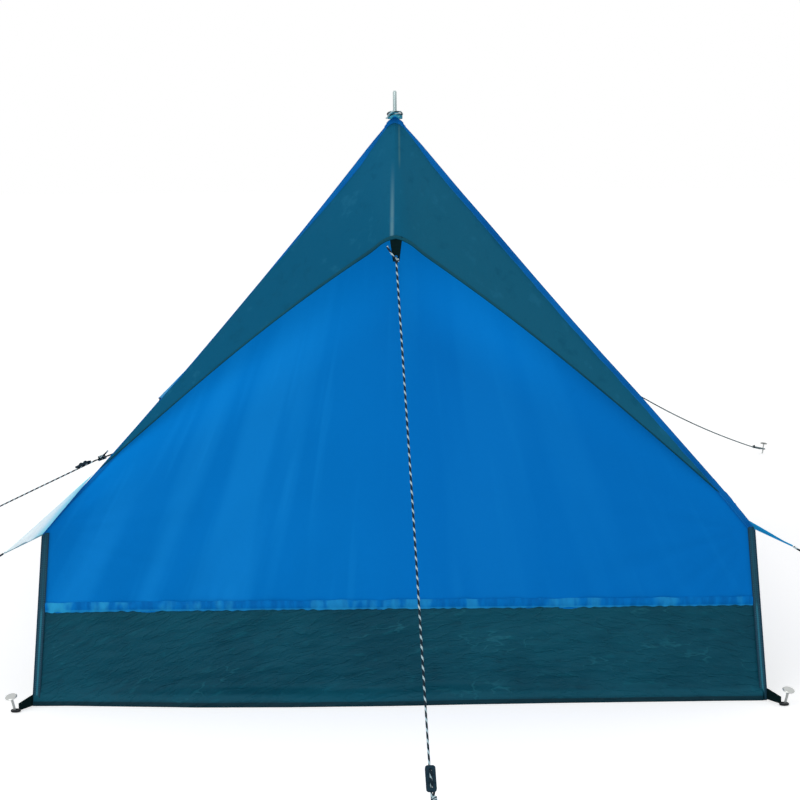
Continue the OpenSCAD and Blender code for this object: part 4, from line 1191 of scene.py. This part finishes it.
# Painted highlight: pale lines down the crease of the hood, where it catches the light.
crease_highlight_low = 1 - (paint.x + 0.0045 + (0.85 - paint.z) * 0.020).size().rise(0.0004, 0.0044)
crease_highlight_low = crease_highlight_low * (1 - paint.z.rise(0.78, 0.885))
crease_highlight_high = 1 - (paint.x - 0.0065).size().rise(0.0004, 0.0022)
crease_highlight_high = crease_highlight_high * paint.z.rise(0.86, 0.885) * (1 - paint.z.rise(0.925, 0.94))
fine = threads(paint)
# Painted light and shade: the crumples are painted lighter on their crests and darker in their hollows, and
# the hood has a weak painted glow.
crumple = paint.noise(paint.spot, 30.0, 5, rough=0.6)
body = paint.layers(
    (7, 82, 115), (paint.x.rise(-0.05, 0.05), (18, 89, 117)), (tone.rise(0.40, 0.75) * 0.4, (24, 94, 124)),
    (crease_highlight_low * 0.50, (112, 154, 164)), (crease_highlight_high * 0.35, (84, 126, 122)),
    (crumple.rise(0.56, 0.70) * 0.35, (30, 104, 136)), (crumple.rise(0.44, 0.30) * 0.35, (4, 70, 98)),
    (fine * 0.08, (6, 66, 92)))
paint.coat(body, 0.56 + tone * 0.16, crumple + fine * 0.02, 0.0016, through=0.06)
print("hood cloth done")

# %% Tub cloth
paint = Paint("tub_cloth", rough=0.5, shine=0.10)
grid = threads(paint, 0.0024)
lean = paint.z - paint.x * 0.15 + paint.x * paint.x * 0.30
drawn = paint.join(paint.x * 0.30, paint.y * 0.30, lean)
crinkle = paint.noise(drawn, 95.0, 5, rough=0.62)
broad = paint.noise(drawn, 26.0, 3)
wide = paint.noise(paint.spot, 6.0, 3)
sharp = 1 - (paint.noise(drawn, 60.0, 2) - 0.5).size().rise(0.0, 0.035)
strip = paint.z.rise(0.009, 0.0115) * (1 - paint.z.rise(0.017, 0.021))
roll = 1 - paint.z.rise(0.0065, 0.0085)
# Painted light and shade: the crinkles are painted lighter and darker, thin glints run along the sharp
# creases, a lit strip lies just above the foot, and the rolled foot is painted dark as shade.
body = paint.layers(
    (4, 66, 84), (wide.rise(0.35, 0.7), (6, 76, 95)),
    (crinkle.rise(0.54, 0.72) * 0.40, (14, 94, 112)), (crinkle.rise(0.46, 0.30) * 0.40, (2, 52, 68)),
    (sharp * broad.rise(0.52, 0.66) * 0.30, (38, 116, 134)), (strip * 0.35, (18, 88, 108)),
    (roll * 0.8, (4, 36, 46)), (grid * 0.10, (6, 40, 54)))
paint.coat(body, 0.46 + crinkle * 0.2, crinkle * 0.9 + broad * 1.4 + sharp * 0.15 + grid * 0.03, 0.0038)
print("tub cloth done")


# %% [markdown]
# ## Stitches
# A lockstitch shows as short raised dashes in a row. The row is a narrow band across the tape,
# and the dashes come from the distance along it: one number cut by the other.


# %% Tapes and bindings
STITCH = 0.0032


def stitches(paint, row, half_width=0.07):
    band = 1 - (paint.u - row).size().rise(half_width * 0.6, half_width)
    return band * (paint.v / STITCH).fract().rise(0.25, 0.40)


def tape_paint(name, base, dark, thread, rows, shine):
    paint = Paint(name, rough=0.68, shine=shine)
    rib = (paint.v * (TURN / 0.0024)).wave()
    edge = (paint.u - 0.5).size().rise(0.40, 0.5)
    tone = paint.noise(paint.spot, 9.0, 3)
    seam = 0
    for row in rows:
        seam = stitches(paint, row) + seam
    body = paint.layers(dark, (tone.rise(0.3, 0.7), base), (rib * 0.35, dark), (edge * 0.55, dark),
                        (seam * 0.6, thread))
    # The tapes also get a weak painted glow of their own colour, as painted light.
    paint.coat(body, 0.6 + tone * 0.15, rib * 0.25 + seam * 0.7 + tone * 0.3, 0.0007, through=0.06)


tape_paint("slope_binding", (8, 103, 179), (1, 80, 149), (26, 122, 194), (0.22, 0.78), 0.04)
tape_paint("hood_binding", (16, 84, 104), (9, 64, 82), (62, 106, 104), (0.7,), 0.05)
# Painted shade: the folded rear wing gets its own deeper cyan copy of the wing colour, as it looks in shade.
tape_paint("shaded_folded_wing", (40, 168, 214), (22, 140, 196), (80, 196, 226), (0.5,), 0.08)
tape_paint("wing_hem", (150, 194, 204), (96, 140, 152), (180, 214, 222), (0.5,), 0.05)
tape_paint("ridge_webbing", (48, 150, 180), (14, 92, 120), (120, 200, 216), (0.2, 0.8), 0.1)

paint = Paint("corner_binding", rough=0.6, shine=0.2)
stripe = 1 - (paint.u - 0.5).size().rise(0.10, 0.20)
rib = (paint.v * (TURN / 0.0030)).wave()
tone = paint.noise(paint.spot, 12.0, 3)
seam = stitches(paint, 0.22) + stitches(paint, 0.78)
pale = stripe * (0.7 + tone * 0.5) * (1 - paint.z.rise(0.15, 0.165) * 0.7)
body = paint.layers((9, 56, 76), (pale, (34, 112, 134)), (rib * 0.25, (6, 38, 54)),
                    (seam * 0.4, (60, 120, 142)))
paint.coat(body, 0.55 + tone * 0.2, rib * 0.3 + seam * 0.6 + stripe * 0.4, 0.0007)
print("tapes and bindings done, paints:", len(paints))

# %% Band, wings, webbing, zips and net
paint = Paint("band_cloth", rough=0.6, shine=0.03)
pucker = paint.noise(paint.spot, 60.0, 4, stretch=(1.6, 1, 0.4))
pucker_highlights = paint.noise(paint.spot, 26.0, 3, stretch=(1, 1, 0.3)).rise(0.50, 0.62)
lower = 1 - paint.v.rise(0.1572, 0.1590)
near_corner = 1 - paint.x.rise(-0.54, -0.42)
# Painted light and shade: the puckers are painted lighter and darker, pale cyan highlights lie on them, more
# near the left corner, a painted highlight runs along the band's foot, and the band has a weak painted glow.
body = paint.layers(
    (1, 92, 163), (pucker.rise(0.35, 0.66), (2, 104, 178)),
    (pucker_highlights * (0.18 + pucker * 0.30 + near_corner * 0.35), (44, 156, 202)), (lower * 0.45, (34, 138, 190)))
paint.coat(body, 0.55 + pucker * 0.2, pucker * 1.2, 0.0014, through=0.10)

paint = Paint("wing_cloth", rough=0.5, shine=0.1)
tone = paint.noise(paint.spot, 10.0, 3)
fine = threads(paint, 0.0010)
seam_side = 1 - paint.v.rise(0.0, 0.05)
body = paint.layers((238, 248, 246), (seam_side * 0.85, (112, 214, 232)),
                    (tone.rise(0.45, 0.75) * 0.35, (190, 232, 236)), (fine * 0.10, (160, 214, 226)))
# Painted light: the wing glows strongly in its own pale colour, for the light that comes through it.
paint.coat(body, 0.45 + tone * 0.2, paint.noise(paint.spot, 40.0, 3) + fine * 0.04, 0.0010, through=0.42)

paint = Paint("webbing", rough=0.75, shine=0.05)
twill = (paint.v * (TURN / 0.0022)).wave() * (paint.u * (TURN * 7) + paint.v * (TURN / 0.0044)).wave()
tone = paint.noise(paint.spot, 30.0, 3)
body = paint.layers((3, 22, 24), (twill, (10, 40, 42)), (tone.rise(0.5, 0.8) * 0.4, (16, 48, 52)))
paint.coat(body, 0.7 + tone * 0.2, twill + tone * 0.2, 0.0006)

paint = Paint("zip_tape", rough=0.7, shine=0.15)
rib = (paint.z * (TURN / 0.0016)).sin() * (paint.x * (TURN / 0.0016)).sin() * 0.5 + 0.5
tone = paint.noise(paint.spot, 20.0, 3)
body = paint.layers((8, 38, 56), (rib * 0.5 + tone * 0.3, (20, 62, 84)))
paint.coat(body, 0.62 + tone * 0.2, rib + tone * 0.3, 0.0004)

paint = Paint("netting", rough=0.7, shine=0.1)
mesh_u, mesh_v = ((way * (TURN / 0.0026)).sin().size().rise(0.35, 0.55) for way in (paint.u, paint.v))
solid = 1 - mesh_u * mesh_v
paint.link("Base Color", paint.layers((22, 32, 38), (paint.noise(paint.spot, 14.0, 2), (38, 50, 57))))
paint.link("Alpha", solid)
paint.bump(solid, 0.0004)
print("paints:", len(paints))


# %% [markdown]
# ## Cord, metal and plastic
# A laid cord has dark strands and one pale one that winds round it. The pale strand shows as a
# sloping fleck once in each turn, so one sloping wave over the UV map draws it.

# %% Cord and hard parts
paint = Paint("cord", rough=0.72, shine=0.2)
fleck = (paint.u * TURN + paint.v * (TURN / 0.016)).sin().rise(0.30, 0.62)
strand_wave = (paint.u * (TURN * 8) + paint.v * (TURN / 0.005)).wave()
body = paint.layers((8, 36, 50), (fleck, (196, 226, 236)), (strand_wave * 0.2, (8, 36, 50)))
paint.coat(body, 0.66 + strand_wave * 0.14, strand_wave + fleck * 0.6, 0.0005)


def hard_paint(name, base, dark, rough, metal, grain=60.0, shine=0.5, stretch=(1, 1, 1), depth=0.0002):
    paint = Paint(name, rough=rough, metal=metal, shine=shine)
    grit = paint.noise(paint.spot, grain, 4, stretch=stretch)
    stain = paint.noise(paint.spot, 14.0, 3)
    body = paint.layers(base, (stain.rise(0.35, 0.75) * 0.7 + grit * 0.2, dark))
    paint.coat(body, rough - 0.06 + grit * 0.14, grit, depth)


hard_paint("pole_steel", (190, 206, 206), (150, 170, 172), 0.36, 0.75, stretch=(1, 1, 0.06))
hard_paint("peg_steel", (205, 208, 206), (150, 154, 152), 0.38, 0.85, 90)
hard_paint("eyelet_metal", (176, 212, 222), (130, 172, 186), 0.34, 0.7, 80)
hard_paint("zip_metal", (52, 66, 74), (24, 34, 42), 0.4, 0.8, 90)
hard_paint("black_plastic", (22, 28, 32), (12, 16, 19), 0.5, 0.0, 260, 0.35, depth=0.00008)
hard_paint("runner_plastic", (5, 42, 58), (3, 28, 40), 0.45, 0.0, 260, 0.18, depth=0.00008)
print("paints:", len(paints))

# %% Dress every piece
# The folded rear wing and its hem take the painted shade finish.
OWN_FINISH = {
    "hood_binding": "hood_binding", "rear_ridge_strap": "ridge_webbing", "front_ridge_strap": "ridge_webbing",
    "rear_wing_right": "shaded_folded_wing", "rear_wing_hem_right": "shaded_folded_wing", "rear_wing_hem_left": "wing_hem",
}
slot_of = {entry["node"]: entry["material_slot"] for entry in frame["record"]["subparts"]}


def dress(piece, finish):
    piece.data.materials.clear()
    piece.data.materials.append(paints[finish].material)


for name, node in nodes.items():
    dress(node, slot_of[name])
for piece in tent_parts:
    dress(piece, OWN_FINISH.get(piece.name, piece["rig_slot"]))
for piece in guy_lines + knots:
    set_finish(piece, "cord")
    dress(piece, "cord")
print("dressed:", len(nodes) + len(tent_parts) + len(guy_lines + knots))

# %% [markdown]
# ## Floor and light
# A studio table and an even sky show cloth colours as they are. One large soft lamp to the left
# gives the folds a lit side. The floor is pale, and seen by the camera it is nearly white, while
# the cloth only gets the light that a pale floor would really send back.

# %% Floor, lamp and sky
FLOOR_GREY, FLOOR_LIFT = 0.80, 0.52
SKY_LOW, SKY_HIGH, SKY_SEEN = 1.10, 0.50, 1.0
bpy.ops.object.select_all(action="DESELECT")
bpy.ops.mesh.primitive_plane_add(size=60, location=(0, 0, -0.0004))
floor = bpy.context.object
floor.name = "floor"
ground = bpy.data.materials.new("pale_floor")
ground.use_nodes = True
tree = ground.node_tree
tree.nodes.clear()
card = add_node(tree, "ShaderNodeBsdfDiffuse", (), {0: (FLOOR_GREY, FLOOR_GREY, FLOOR_GREY, 1)})
seen = add_node(tree, "ShaderNodeLightPath")
lift = add_node(tree, "ShaderNodeMath", dict(operation="MULTIPLY"),
                {0: seen.outputs["Is Camera Ray"], 1: FLOOR_LIFT})
glow = add_node(tree, "ShaderNodeEmission", (), {"Strength": lift.outputs[0]})
both = add_node(tree, "ShaderNodeAddShader", (), {0: card.outputs[0], 1: glow.outputs[0]})
add_node(tree, "ShaderNodeOutputMaterial", (), {0: both.outputs[0]})
floor.data.materials.append(ground)

world = bpy.data.worlds.new("studio")
bpy.context.scene.world = world
world.use_nodes = True
tree = world.node_tree
seen = add_node(tree, "ShaderNodeLightPath")
direct = add_node(tree, "ShaderNodeMath", dict(operation="MAXIMUM"),
                  {0: seen.outputs["Is Camera Ray"], 1: seen.outputs["Is Glossy Ray"]})
where = add_node(tree, "ShaderNodeTexCoord")
height = add_node(tree, "ShaderNodeSeparateXYZ", (), {0: where.outputs["Generated"]})
dome = add_node(tree, "ShaderNodeMapRange", (),
                {0: height.outputs[2], 1: 0.0, 2: 0.9, 3: SKY_LOW, 4: SKY_HIGH})
level = add_node(tree, "ShaderNodeMix", (), {0: direct.outputs[0], 2: dome.outputs[0], 3: SKY_SEEN})
sky = tree.nodes["Background"]
sky.inputs[0].default_value = (1, 1, 1, 1)
tree.links.new(level.outputs[0], sky.inputs["Strength"])

lamp = bpy.data.lights.new("soft_lamp", "AREA")
lamp.size, lamp.energy = 4.0, 130
lamp_at = bpy.data.objects.new("soft_lamp", lamp)
lamp_at.location = (-2.6, -6.0, 3.0)
lamp_at.rotation_euler = (Vector((0, -0.9, 0.4)) - lamp_at.location).to_track_quat("-Z", "Y").to_euler()
bpy.context.scene.collection.objects.link(lamp_at)
bpy.context.scene.view_settings.view_transform = "Standard"
print("floor, sky and lamp of %.0f W" % lamp.energy)
